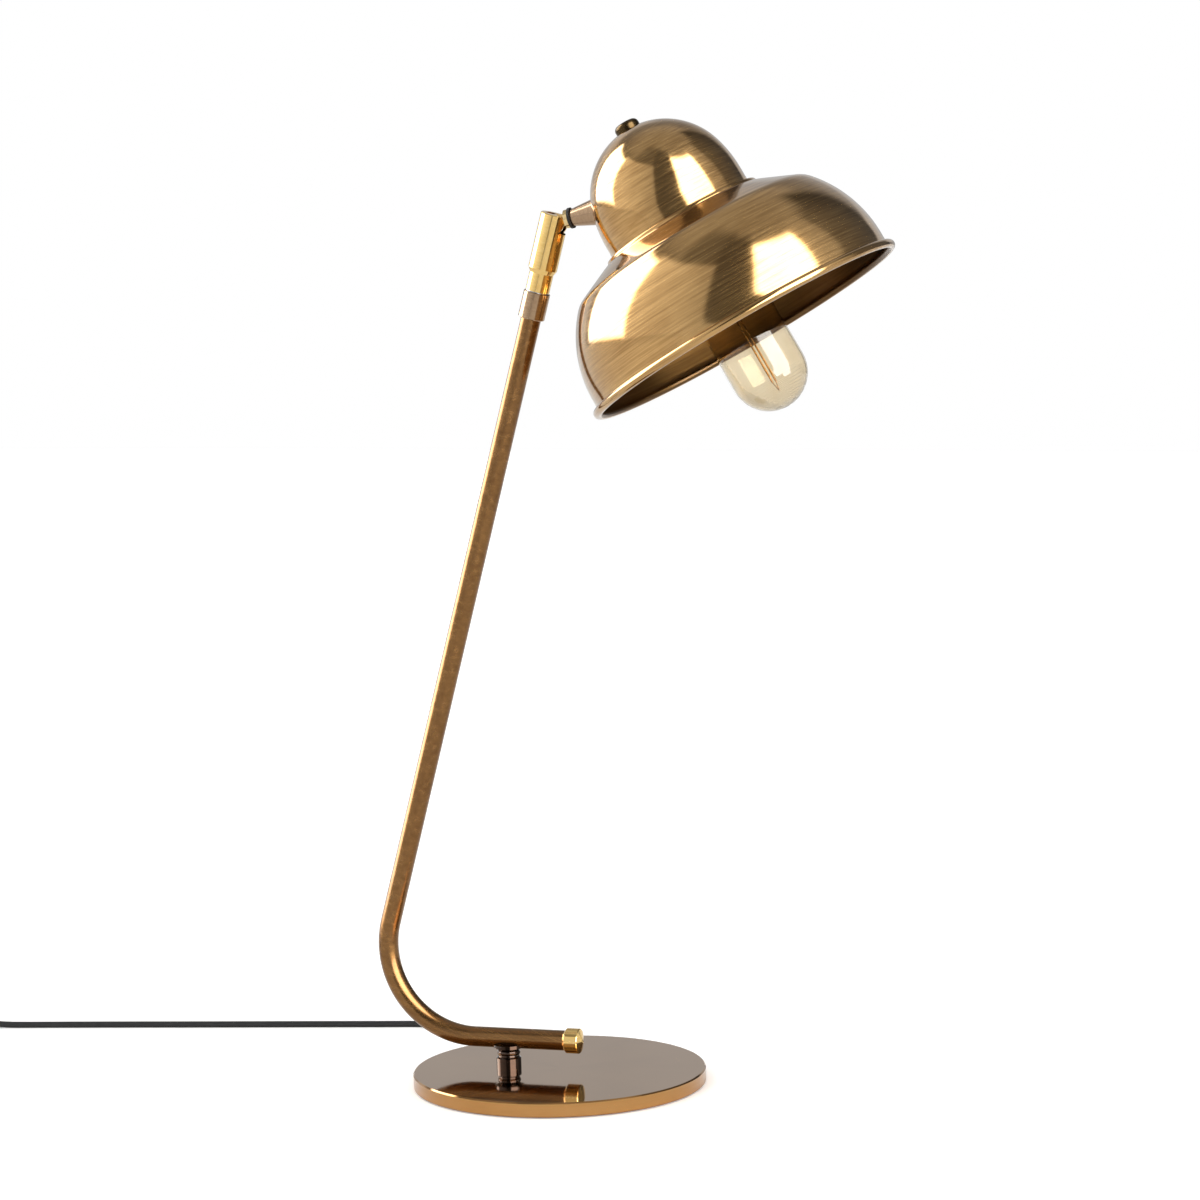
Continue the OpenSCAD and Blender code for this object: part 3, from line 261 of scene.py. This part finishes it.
def shell_section(outside, thickness):
    """A section of even thickness, drawn inwards from its outside line."""
    inside = []
    for i, here in enumerate(outside):
        a = Vector(outside[max(i - 1, 0)])
        b = Vector(outside[min(i + 1, len(outside) - 1)])
        along = (b - a).normalized()
        inside.append((max(0, here[0] - along.y * thickness), here[1] + along.x * thickness))
    return outside + inside[::-1]


SIDE_C = (BOWL_R - SIDE_R, BOWL_WALL_H)
SIDE_END = arc(SIDE_C, SIDE_R, SIDE_TURN, SIDE_TURN, 1)[0]
SHOULDER_C = arc(SIDE_END, -SHOULDER_R, SIDE_TURN, SIDE_TURN, 1)[0]
SHOULDER_END = arc(SHOULDER_C, SHOULDER_R, SHOULDER_TURN, SHOULDER_TURN, 1)[0]
LEDGE_R = DOME_R + LEDGE_W
SLOPE_TOP = SHOULDER_END[1] + (SHOULDER_END[0] - LEDGE_R) / math.tan(math.radians(SHOULDER_TURN))
LEDGE_S = SLOPE_TOP + CREASE_H
DOME_WALL_TOP = LEDGE_S + DOME_WALL_H
DOME_SIDE_C = (DOME_R - DOME_SIDE_R, DOME_WALL_TOP)
DOME_SIDE_END = arc(DOME_SIDE_C, DOME_SIDE_R, DOME_SIDE_TURN, DOME_SIDE_TURN, 1)[0]
DOME_TOP_R = DOME_SIDE_END[0] / math.cos(math.radians(DOME_SIDE_TURN))
DOME_C = DOME_SIDE_END[1] - DOME_TOP_R * math.sin(math.radians(DOME_SIDE_TURN))


def add_dome():
    """The upper tier, with the lip that sits on the ledge."""
    outside = [(DOME_R + LIP_W, LEDGE_S), (DOME_R + LIP_W, LEDGE_S + 0.35), (DOME_R + 0.45, LEDGE_S + 0.62),
               (DOME_R, LEDGE_S + LIP_H), (DOME_R, LEDGE_S + 3), (DOME_R, LEDGE_S + 6)]
    wall = [(DOME_R, DOME_WALL_TOP)]
    wall += arc(DOME_SIDE_C, DOME_SIDE_R, 1.5, DOME_SIDE_TURN, 9)
    wall += arc((0, DOME_C), DOME_TOP_R, DOME_SIDE_TURN + 3, DOME_HOLE_TURN, 22)
    inside = shell_section(wall, SHELL_T)[len(wall):]
    section = outside + wall + inside + [(DOME_R - SHELL_T, LEDGE_S + 6), (DOME_R - SHELL_T, LEDGE_S)]
    return turned("dome", section, shade_place, "head", ["dome_shell"], steps=160,
                  inside=len(outside + wall) - 1)


def add_bowl():
    """The lower tier: its rolled rim, wide wall, crease and the upstand inside the dome."""
    bead = arc((BOWL_R + BEAD_OUT, BEAD_R), BEAD_R, -212, 116, 30)
    # The bead's first faces, round its inner side, take the insides' second material, which is painted darker
    # as shade.
    bead_inside = 9
    outside = [(BOWL_R, BEAD_R * 2 + 1.4), (BOWL_R, 8.6), (BOWL_R, BOWL_WALL_H)]
    outside += arc(SIDE_C, SIDE_R, 1.5, SIDE_TURN, 26)
    outside += arc(SHOULDER_C, SHOULDER_R, SIDE_TURN + 3, SHOULDER_TURN, 7)
    run = Vector((LEDGE_R, SLOPE_TOP)) - Vector(SHOULDER_END)
    outside += [tuple(Vector(SHOULDER_END) + run * part) for part in (0.15, 0.5, 0.8)]
    inside = shell_section(outside, SHELL_T)[len(outside):]
    up_r = DOME_R - SHELL_T - NECK_GAP
    neck = [(up_r, LEDGE_S), (up_r, LEDGE_S + NECK_H), (up_r - SHELL_T, LEDGE_S + NECK_H),
            (up_r - SHELL_T, LEDGE_S - SHELL_T)]
    crease_r = LEDGE_R - CREASE_W
    crease = [(LEDGE_R, SLOPE_TOP - 0.2), (LEDGE_R - 0.04, SLOPE_TOP + 0.1), (crease_r + 0.05, LEDGE_S - 0.3),
              (crease_r - 0.1, LEDGE_S - 0.07), (crease_r - 0.35, LEDGE_S)]
    section = bead + outside + crease + neck + inside
    return turned("bowl", section, shade_place, "head", ["bowl_shell"], steps=224,
                  inside=len(bead + outside + crease + neck) - 2, lip=bead_inside)


def add_tube():
    """The bent tube: foot run, bend and leaning stem, in one smooth sweep."""
    stations = [(FOOT_END, FOOT_Z, -90), (BEND_X + 20, FOOT_Z, -90)]
    centre = (BEND_X, FOOT_Z + BEND_R)
    for i in range(41):
        turn = -90 - BEND_TURN * i / 40
        x, z = arc(centre, BEND_R, turn, turn, 1)[0]
        stations.append((x, z, turn))
    for v in STEM_STATIONS:
        point = stem_place @ Vector((0, 0, v * MM)) / MM
        stations.append((point.x, point.z, -90 - BEND_TURN))
    mesh = bmesh.new()
    loops = []
    across = Vector((0, 1, 0))
    steps = 48
    around = [math.tau * k / steps for k in range(steps)]
    for radius in (TUBE_D / 2, TUBE_D / 2 - TUBE_WALL):
        rings = []
        for x, z, turn in stations:
            out = Vector((math.cos(math.radians(turn)), 0, math.sin(math.radians(turn))))
            middle = Vector((x, 0, z))
            ring = [(middle + radius * (math.cos(a) * out + math.sin(a) * across)) * MM for a in around]
            rings.append([mesh.verts.new(point) for point in ring])
        loops.append(rings)
    outer, inner = loops
    pairs = list(zip(outer, outer[1:])) + list(zip(inner, inner[1:]))
    pairs += [(outer[0], inner[0]), (outer[-1], inner[-1])]
    for low, high in pairs:
        for k in range(steps):
            after = (k + 1) % steps
            mesh.faces.new((low[k], low[after], high[after], high[k]))
    return keep_mesh("bent_tube", mesh, "stand", ["foot_tube", "bend_tube", "stem_tube"])


# Materials
def shade_of(code):
    """A hex sRGB colour as linear red, green, blue and alpha."""
    parts = [int(code[i:i + 2], 16) / 255 for i in (1, 3, 5)]
    return tuple(p / 12.92 if p <= 0.04045 else ((p + 0.055) / 1.055) ** 2.4 for p in parts) + (1.0,)


def add(tree, kind, values=None, links=None, **props):
    """Adds a node with its properties, its socket values and its links."""
    node = tree.nodes.new(kind)
    for name, value in props.items():
        setattr(node, name, value)
    for socket, value in (values or {}).items():
        node.inputs[socket].default_value = value
    for socket, source in (links or {}).items():
        tree.links.new(source, node.inputs[socket])
    return node


def new_material(name):
    material = bpy.data.materials.new(name)
    material.use_nodes = True
    tree = material.node_tree
    shader = tree.nodes["Principled BSDF"]
    return material, tree, shader


def tone_range(tree, source, dark, light, low=0.3, high=0.7):
    """Spreads a 0 to 1 pattern over two close tones."""
    ramp = add(tree, "ShaderNodeValToRGB", links={"Fac": source})
    ramp.color_ramp.elements[0].position = low
    ramp.color_ramp.elements[0].color = shade_of(dark)
    ramp.color_ramp.elements[1].position = high
    ramp.color_ramp.elements[1].color = shade_of(light)
    return ramp.outputs["Color"]


def lathe_lines(tree, place_mm, lean, around, along):
    """Fine lines round a turned part's axis: slow changes round it, quick ones along it, per mm."""
    coords = add(tree, "ShaderNodeTexCoord")
    local = add(tree, "ShaderNodeMapping", vector_type="TEXTURE",
                values={"Location": Vector(place_mm) * MM, "Rotation": (0, math.radians(lean), 0),
                        "Scale": (MM, MM, MM)},
                links={"Vector": coords.outputs["Object"]})
    flat = add(tree, "ShaderNodeVectorMath", operation="MULTIPLY", values={1: (1, 1, 0)},
               links={0: local.outputs["Vector"]})
    ray = add(tree, "ShaderNodeVectorMath", operation="NORMALIZE", links={0: flat.outputs["Vector"]})
    ring = add(tree, "ShaderNodeVectorMath", operation="SCALE", values={"Scale": around},
               links={0: ray.outputs["Vector"]})
    lines = add(tree, "ShaderNodeVectorMath", operation="MULTIPLY_ADD", values={1: (0, 0, along)},
                links={0: local.outputs["Vector"], 2: ring.outputs["Vector"]})
    noise = add(tree, "ShaderNodeTexNoise", values={"Scale": 1.0, "Detail": 5.0, "Roughness": 0.6},
                links={"Vector": lines.outputs["Vector"]})
    return local.outputs["Vector"], noise.outputs["Fac"]


def turned_brass(name, dark, light, place_mm, lean, rough=(0.07, 0.15), around=2.5, along=1.1, bump=0.000004,
                 coat=0.0, side=None):
    """Brass finished on a lathe. Fine lines round its axis spread each reflection along the axis.
    A disc's side can have a tone of its own, painted as the light that falls on that side."""
    material, tree, shader = new_material(name)
    local, lines = lathe_lines(tree, place_mm, lean, around, along)
    cloud = add(tree, "ShaderNodeTexNoise", values={"Scale": 0.035, "Detail": 3.0}, links={"Vector": local})
    mixed = add(tree, "ShaderNodeMath", operation="MULTIPLY_ADD", values={1: 0.4},
                links={0: cloud.outputs["Fac"], 2: lines})
    tone = add(tree, "ShaderNodeMath", operation="SUBTRACT", values={1: 0.2},
               links={0: mixed.outputs["Value"]})
    colour = tone_range(tree, tone.outputs["Value"], dark, light)
    if side:
        faces = add(tree, "ShaderNodeNewGeometry")
        axes = add(tree, "ShaderNodeSeparateXYZ", links={"Vector": faces.outputs["True Normal"]})
        flatness = add(tree, "ShaderNodeMapRange", values={"From Min": 0.3, "From Max": 0.9},
                       links={"Value": axes.outputs["Z"]})
        # The side's own tone is painted light: the disc's side is drawn lighter than its top.
        side_painted_light_tone = tone_range(tree, tone.outputs["Value"], *side)
        both = add(tree, "ShaderNodeMix", data_type="RGBA",
                   links={0: flatness.outputs["Result"], 6: side_painted_light_tone, 7: colour})
        colour = both.outputs[2]
    tree.links.new(colour, shader.inputs["Base Color"])
    span = add(tree, "ShaderNodeMapRange", values={"From Min": 0.3, "From Max": 0.7, "To Min": rough[0],
                                                   "To Max": rough[1]}, links={"Value": lines})
    tree.links.new(span.outputs["Result"], shader.inputs["Roughness"])
    relief = add(tree, "ShaderNodeBump", values={"Strength": 1.0, "Distance": bump}, links={"Height": lines})
    tree.links.new(relief.outputs["Normal"], shader.inputs["Normal"])
    shader.inputs["Metallic"].default_value = 1.0
    shader.inputs["Coat Weight"].default_value = coat
    shader.inputs["Coat Roughness"].default_value = 0.04
    return material


def moulded(name, dark, light, grain_mm, rough, depth, metallic=0.0, ior=1.5, coat=0.0):
    """A fine-grained surface, such as plastic, rubber, zinc or ceramic, by its grain and depth in mm."""
    material, tree, shader = new_material(name)
    coords = add(tree, "ShaderNodeTexCoord")
    grain = add(tree, "ShaderNodeTexNoise", values={"Scale": 1 / (grain_mm * MM), "Detail": 3.0},
                links={"Vector": coords.outputs["Object"]})
    tree.links.new(tone_range(tree, grain.outputs["Fac"], dark, light), shader.inputs["Base Color"])
    span = add(tree, "ShaderNodeMapRange", values={"From Min": 0.3, "From Max": 0.7, "To Min": rough[0],
                                                   "To Max": rough[1]}, links={"Value": grain.outputs["Fac"]})
    tree.links.new(span.outputs["Result"], shader.inputs["Roughness"])
    relief = add(tree, "ShaderNodeBump", values={"Strength": 1.0, "Distance": depth * MM},
                 links={"Height": grain.outputs["Fac"]})
    tree.links.new(relief.outputs["Normal"], shader.inputs["Normal"])
    shader.inputs["Metallic"].default_value = metallic
    if metallic == 0:
        shader.inputs["IOR"].default_value = ior
    shader.inputs["Coat Weight"].default_value = coat
    return material


def amber_glass():
    """Blown soda-lime glass with a pale amber tint: clear, with a slight waviness in its reflections."""
    material, tree, shader = new_material("blown_amber_glass")
    coords = add(tree, "ShaderNodeTexCoord")
    wave = add(tree, "ShaderNodeTexNoise", values={"Scale": 60.0, "Detail": 1.0},
               links={"Vector": coords.outputs["Object"]})
    tree.links.new(tone_range(tree, wave.outputs["Fac"], "#f0e4cd", "#f5ecd9"), shader.inputs["Base Color"])
    relief = add(tree, "ShaderNodeBump", values={"Strength": 1.0, "Distance": 0.00001},
                 links={"Height": wave.outputs["Fac"]})
    tree.links.new(relief.outputs["Normal"], shader.inputs["Normal"])
    shader.inputs["Roughness"].default_value = 0.0
    shader.inputs["IOR"].default_value = 1.5
    shader.inputs["Transmission Weight"].default_value = 1.0
    return material


def dress(names, *materials):
    """Gives pieces or CAD nodes their material, and the two shells a second one on their insides, which is
    painted darker as shade.
    """
    for name in names:
        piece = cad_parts.get(name) or bpy.data.objects[name]
        if piece.data.materials:
            piece.data.materials.clear()
        for material in materials:
            piece.data.materials.append(material)


# Studio: what reflections see, as soft-edged panels round the lamp. Angles are in degrees from the camera's
# side, positive to the right, and above the horizon. A later panel covers those before it.
ROOM = 0.32
CEILING = 0.62
CEILING_FROM = 60
SHADOW_SIDE = 0.8
# Each panel: from, to, bottom, top, level at from, level at to, width of its soft edge
PANELS = [(-181, 181, 50, 91, 0.5, 0.5, 14),
          (-70, -14, 46, 74, 0.3, 0.22, 12),
          (-181, -140, -14, 32, 0.45, 0.9, 8),
          (150, 181, -14, 30, 0.35, 0.45, 10),
          (96, 152, -20, 62, 0.26, 0.07, 12),
          (62, 98, -20, 64, 0.85, 0.5, 8),
          (-26, 10, -20, 70, 0.17, 0.2, 10),
          (-92, -25, -24, 46, 1.35, 0.62, 4),
          (-134, -90, -4, 42, 8.0, 8.0, 4),
          (12, 65, -12, 60, 8.0, 8.0, 7),
          (-181, -150, 3, 16, 0.55, 0.55, 4),
          (150, 181, 3, 16, 0.55, 0.55, 4)]
# Where glass starts to show the white room behind the lamp instead of the panels
CLEAR_FROM = 80
CLEAR_TO = 110
FLOOR_HALF = 4
FLOOR_GLOW = 0.34
LAMP_SIZE = 1.6
LAMP_POWER = 14
LAMP_P = (-1.1, -1.3, 2.1)
LAMP_AIM = (0, 0, 0.2)


def add_panel(tree, turn, rise, below, panel):
    """Lays one panel over the levels below it. Returns the new level."""
    left, right, bottom, top, first, last, edge = panel
    level = add(tree, "ShaderNodeMapRange", values={"From Min": left, "From Max": right, "To Min": first,
                                                    "To Max": last}, links={"Value": turn})
    sides = [(turn, left - edge / 2, left + edge / 2), (turn, right + edge / 2, right - edge / 2),
             (rise, bottom - edge / 2, bottom + edge / 2), (rise, top + edge / 2, top - edge / 2)]
    cover = None
    for angle, outside, within in sides:
        fade = add(tree, "ShaderNodeMapRange", interpolation_type="SMOOTHSTEP",
                   values={"From Min": outside, "From Max": within}, links={"Value": angle}).outputs["Result"]
        if cover is not None:
            fade = add(tree, "ShaderNodeMath", operation="MULTIPLY",
                       links={0: fade, 1: cover}).outputs["Value"]
        cover = fade
    laid = add(tree, "ShaderNodeMix", data_type="FLOAT",
               links={0: cover, 2: below, 3: level.outputs["Result"]})
    return laid.outputs[0]


def add_world():
    """White behind the lamp for the camera, the panels for reflections, an even level for soft light."""
    world = bpy.data.worlds.new("studio")
    bpy.context.scene.world = world
    world.use_nodes = True
    world.cycles.sampling_method = "NONE"
    tree = world.node_tree
    tree.nodes.clear()
    coords = add(tree, "ShaderNodeTexCoord")
    faced = add(tree, "ShaderNodeMapping", values={"Rotation": (0, 0, math.radians(-CAMERA_TURN))},
                links={"Vector": coords.outputs["Generated"]})
    axes = add(tree, "ShaderNodeSeparateXYZ", links={"Vector": faced.outputs["Vector"]})
    toward = add(tree, "ShaderNodeMath", operation="MULTIPLY", values={1: -1.0}, links={0: axes.outputs["Y"]})
    turn = add(tree, "ShaderNodeMath", operation="ARCTAN2",
               links={0: axes.outputs["X"], 1: toward.outputs["Value"]})
    turn_degrees = add(tree, "ShaderNodeMath", operation="DEGREES", links={0: turn.outputs["Value"]})
    rise = add(tree, "ShaderNodeMath", operation="ARCSINE", links={0: axes.outputs["Z"]})
    rise_degrees = add(tree, "ShaderNodeMath", operation="DEGREES", links={0: rise.outputs["Value"]})
    base = add(tree, "ShaderNodeMapRange",
               values={"From Min": CEILING_FROM, "From Max": 90.0, "To Min": ROOM, "To Max": CEILING},
               links={"Value": rise_degrees.outputs["Value"]})
    level = base.outputs["Result"]
    for panel in PANELS:
        level = add_panel(tree, turn_degrees.outputs["Value"], rise_degrees.outputs["Value"], level, panel)
    path = add(tree, "ShaderNodeLightPath")
    away = add(tree, "ShaderNodeMath", operation="ABSOLUTE", links={0: turn_degrees.outputs["Value"]})
    behind = add(tree, "ShaderNodeMapRange", values={"From Min": CLEAR_FROM, "From Max": CLEAR_TO},
                 links={"Value": away.outputs["Value"]})
    clear = add(tree, "ShaderNodeMath", operation="MULTIPLY",
                links={0: path.outputs["Is Transmission Ray"], 1: behind.outputs["Result"]})
    through = add(tree, "ShaderNodeMath", operation="MAXIMUM",
                  links={0: path.outputs["Is Camera Ray"], 1: clear.outputs["Value"]})
    keen = add(tree, "ShaderNodeMath", operation="MAXIMUM",
               links={0: path.outputs["Is Glossy Ray"], 1: path.outputs["Is Transmission Ray"]})
    soft = add(tree, "ShaderNodeMix", data_type="FLOAT", values={2: SHADOW_SIDE},
               links={0: keen.outputs["Value"], 3: level})
    seen = add(tree, "ShaderNodeMix", data_type="FLOAT", values={3: 1.0},
               links={0: through.outputs["Value"], 2: soft.outputs[0]})
    sky = add(tree, "ShaderNodeBackground", links={"Color": seen.outputs[0]})
    add(tree, "ShaderNodeOutputWorld", links={"Surface": sky.outputs["Background"]})


def add_floor():
    """A plain pale floor, which glows a little for the camera so that it meets the white behind."""
    mesh = bmesh.new()
    corners = [(-FLOOR_HALF, -FLOOR_HALF, 0), (FLOOR_HALF, -FLOOR_HALF, 0),
               (FLOOR_HALF, FLOOR_HALF, 0), (-FLOOR_HALF, FLOOR_HALF, 0)]
    mesh.faces.new([mesh.verts.new(corner) for corner in corners])
    data = bpy.data.meshes.new("floor")
    mesh.to_mesh(data)
    mesh.free()
    floor = bpy.data.objects.new("floor", data)
    bpy.context.scene.collection.objects.link(floor)
    material, tree, shader = new_material("pale_floor")
    coords = add(tree, "ShaderNodeTexCoord")
    grain = add(tree, "ShaderNodeTexNoise", values={"Scale": 900.0, "Detail": 2.0},
                links={"Vector": coords.outputs["Object"]})
    tree.links.new(tone_range(tree, grain.outputs["Fac"], "#f1f0ee", "#f4f3f1"), shader.inputs["Base Color"])
    shader.inputs["Roughness"].default_value = 0.9
    path = add(tree, "ShaderNodeLightPath")
    glow = add(tree, "ShaderNodeMath", operation="MULTIPLY", values={1: FLOOR_GLOW},
               links={0: path.outputs["Is Camera Ray"]})
    shader.inputs["Emission Color"].default_value = (1, 1, 1, 1)
    tree.links.new(glow.outputs["Value"], shader.inputs["Emission Strength"])
    data.materials.append(material)


def add_lamp():
    """One broad soft light from the upper left, for the shadow. Metal shows the studio instead of it."""
    light = bpy.data.lights.new("soft_key", "AREA")
    light.size = LAMP_SIZE
    light.energy = LAMP_POWER
    lamp = bpy.data.objects.new("soft_key", light)
    lamp.location = LAMP_P
    lamp.rotation_euler = (Vector(LAMP_AIM) - lamp.location).to_track_quat("-Z", "Y").to_euler()
    lamp.visible_glossy = False
    lamp.visible_camera = False
    bpy.context.scene.collection.objects.link(lamp)


add_camera()
add_cord()
add_world()
add_floor()
add_lamp()
add_dome()
add_bowl()
add_tube()

# The axis of each lathe: a point on it and its lean
shade_spot = (RIM_CENTRE, -SHADE_LEAN)
stem_spot = ((STEM_X, 0, 0), LEAN)
foot_spot = ((0, 0, 0), 0)
neck_spot = ((NECK_X, 0, 0), 0)
arm_spot = (PIVOT, 90 - ARM_TILT)
# Fine spun lines in brown-gold brass under lacquer, which stretch each soft light along the shade
shade_brass = turned_brass("spun_antique_brass", "#a47b45", "#d3a96c", *shade_spot, rough=(0.08, 0.15),
                           coat=0.6)
# The same metal, duller inside, with its colour painted darker there as the shade that falls in the
# lampshade's hollow, so that the bulb stands out against it
shade_inside_painted_dark = turned_brass("spun_brass_painted_shade_inside", "#5a4021", "#6e512c", *shade_spot, rough=(0.3, 0.42),
                            coat=0.3)
dress(["dome", "bowl"], shade_brass, shade_inside_painted_dark)
# Brown bronze brushed along the tube, with one broad light down its side
dress(["bent_tube"],
      turned_brass("brushed_bronze_tube", "#76522c", "#8f683c", *stem_spot, rough=(0.2, 0.3), around=1.5,
                   along=0.3, coat=0.3))
# A clear lacquer over brown metal: pale where it mirrors the room, deep brown where it mirrors the tube. Its
# side is painted a lighter, warmer tone than its top, as painted light.
dress(["base_plate"],
      turned_brass("lacquered_bronze_plate", "#9a7038", "#a47a42", *foot_spot, rough=(0.05, 0.09), around=0.8,
                   along=0.1, bump=0.0000006, coat=0.6, side=("#bb8648", "#c99556")))
# Bright yellow polish on the turned fittings, with crisp dark and light bands
dress(["stem_end_cap", "swivel_post", "knuckle_body", "knuckle_screw"],
      turned_brass("polished_yellow_brass", "#efc678", "#f6d38c", *stem_spot, rough=(0.06, 0.12),
                   bump=0.000002))
# Paler and a little duller than the knuckle beside it
dress(["arm_tongue"],
      turned_brass("pale_polished_brass", "#e0c48e", "#ead09c", *arm_spot, rough=(0.1, 0.16), along=2.0))
# Grey-pink turned metal, with fine rings from the tool
dress(["arm_cone"],
      turned_brass("pale_turned_bronze", "#a08468", "#b2967a", *arm_spot, rough=(0.12, 0.2), along=2.0))
# Olive-brown cap, softer in its shine than the shade
dress(["cap_nut"],
      turned_brass("aged_bronze_cap", "#43351f", "#54432b", *shade_spot, rough=(0.16, 0.26)))
# Grey-brown sleeve that parts the yellow post from the brown stem
dress(["stem_collar"],
      turned_brass("grey_bronze_sleeve", "#a08468", "#b4987a", *stem_spot, rough=(0.1, 0.18)))
# Nearly black polish, with small sharp lights on its bead
dress(["neck_ring", "neck_saddle"],
      turned_brass("blackened_bronze", "#3a2a20", "#483529", *neck_spot, rough=(0.06, 0.12), coat=0.6))
# Cool grey of plated fixings
dress(["arm_washer", "nipple_washer", "stud_washer", "stud_nut", "swivel_nut", "collar_screw", "clamp_screws",
       "cord_clamp", "switch_screws", "rocker_pin", "plug_pins", "bulb_contact", "swivel_washer"],
      moulded("zinc_plated_steel", "#a9abad", "#bdbfc0", 0.6, (0.2, 0.32), 0.002, metallic=1.0))
# Plain yellow of cut threads
dress(["arm_nut", "holder_nipple", "nipple_locknut", "neck_stud", "holder_thread", "holder_contact",
       "bulb_cap"],
      moulded("machined_thread_brass", "#c1a266", "#d0b174", 0.8, (0.18, 0.3), 0.002, metallic=1.0))
# Satin black sheath with one soft light along it
dress(["mains_cord", "stem_lead", "head_lead", "switch_leads", "cord_tie"],
      moulded("black_pvc_cord", "#141414", "#1b1b1b", 0.8, (0.35, 0.5), 0.01, ior=1.53))
# Dull black that swallows the light
dress(["base_pad", "cord_grommet", "arm_ring"],
      moulded("black_rubber", "#121212", "#1a1a1a", 0.7, (0.5, 0.7), 0.02))
# Even black with a low gloss on its edges
dress(["switch_base", "switch_cover", "switch_rocker", "plug_body", "bulb_insulator"],
      moulded("black_moulded_plastic", "#131313", "#1a1a1a", 0.6, (0.28, 0.4), 0.008))
# Warm black paint on the lampholder
dress(["holder_cap", "holder_body"],
      moulded("dark_painted_steel", "#2a2520", "#332d27", 0.8, (0.25, 0.4), 0.004))
# Cream glaze deep inside the holder
dress(["holder_insert"],
      moulded("glazed_ceramic", "#e4e0d6", "#eeebe2", 1.5, (0.12, 0.2), 0.004, coat=0.4))
# Clear pale amber that darkens towards its edges
dress(["bulb_glass", "bulb_mount"], amber_glass())
# Gold lines seen through the glass
dress(["bulb_supports", "bulb_filament"],
      moulded("gold_wire", "#a67c3a", "#ba9050", 0.5, (0.15, 0.25), 0.001, metallic=1.0))

bpy.context.scene.view_settings.view_transform = "Standard"
bpy.context.view_layer.update()
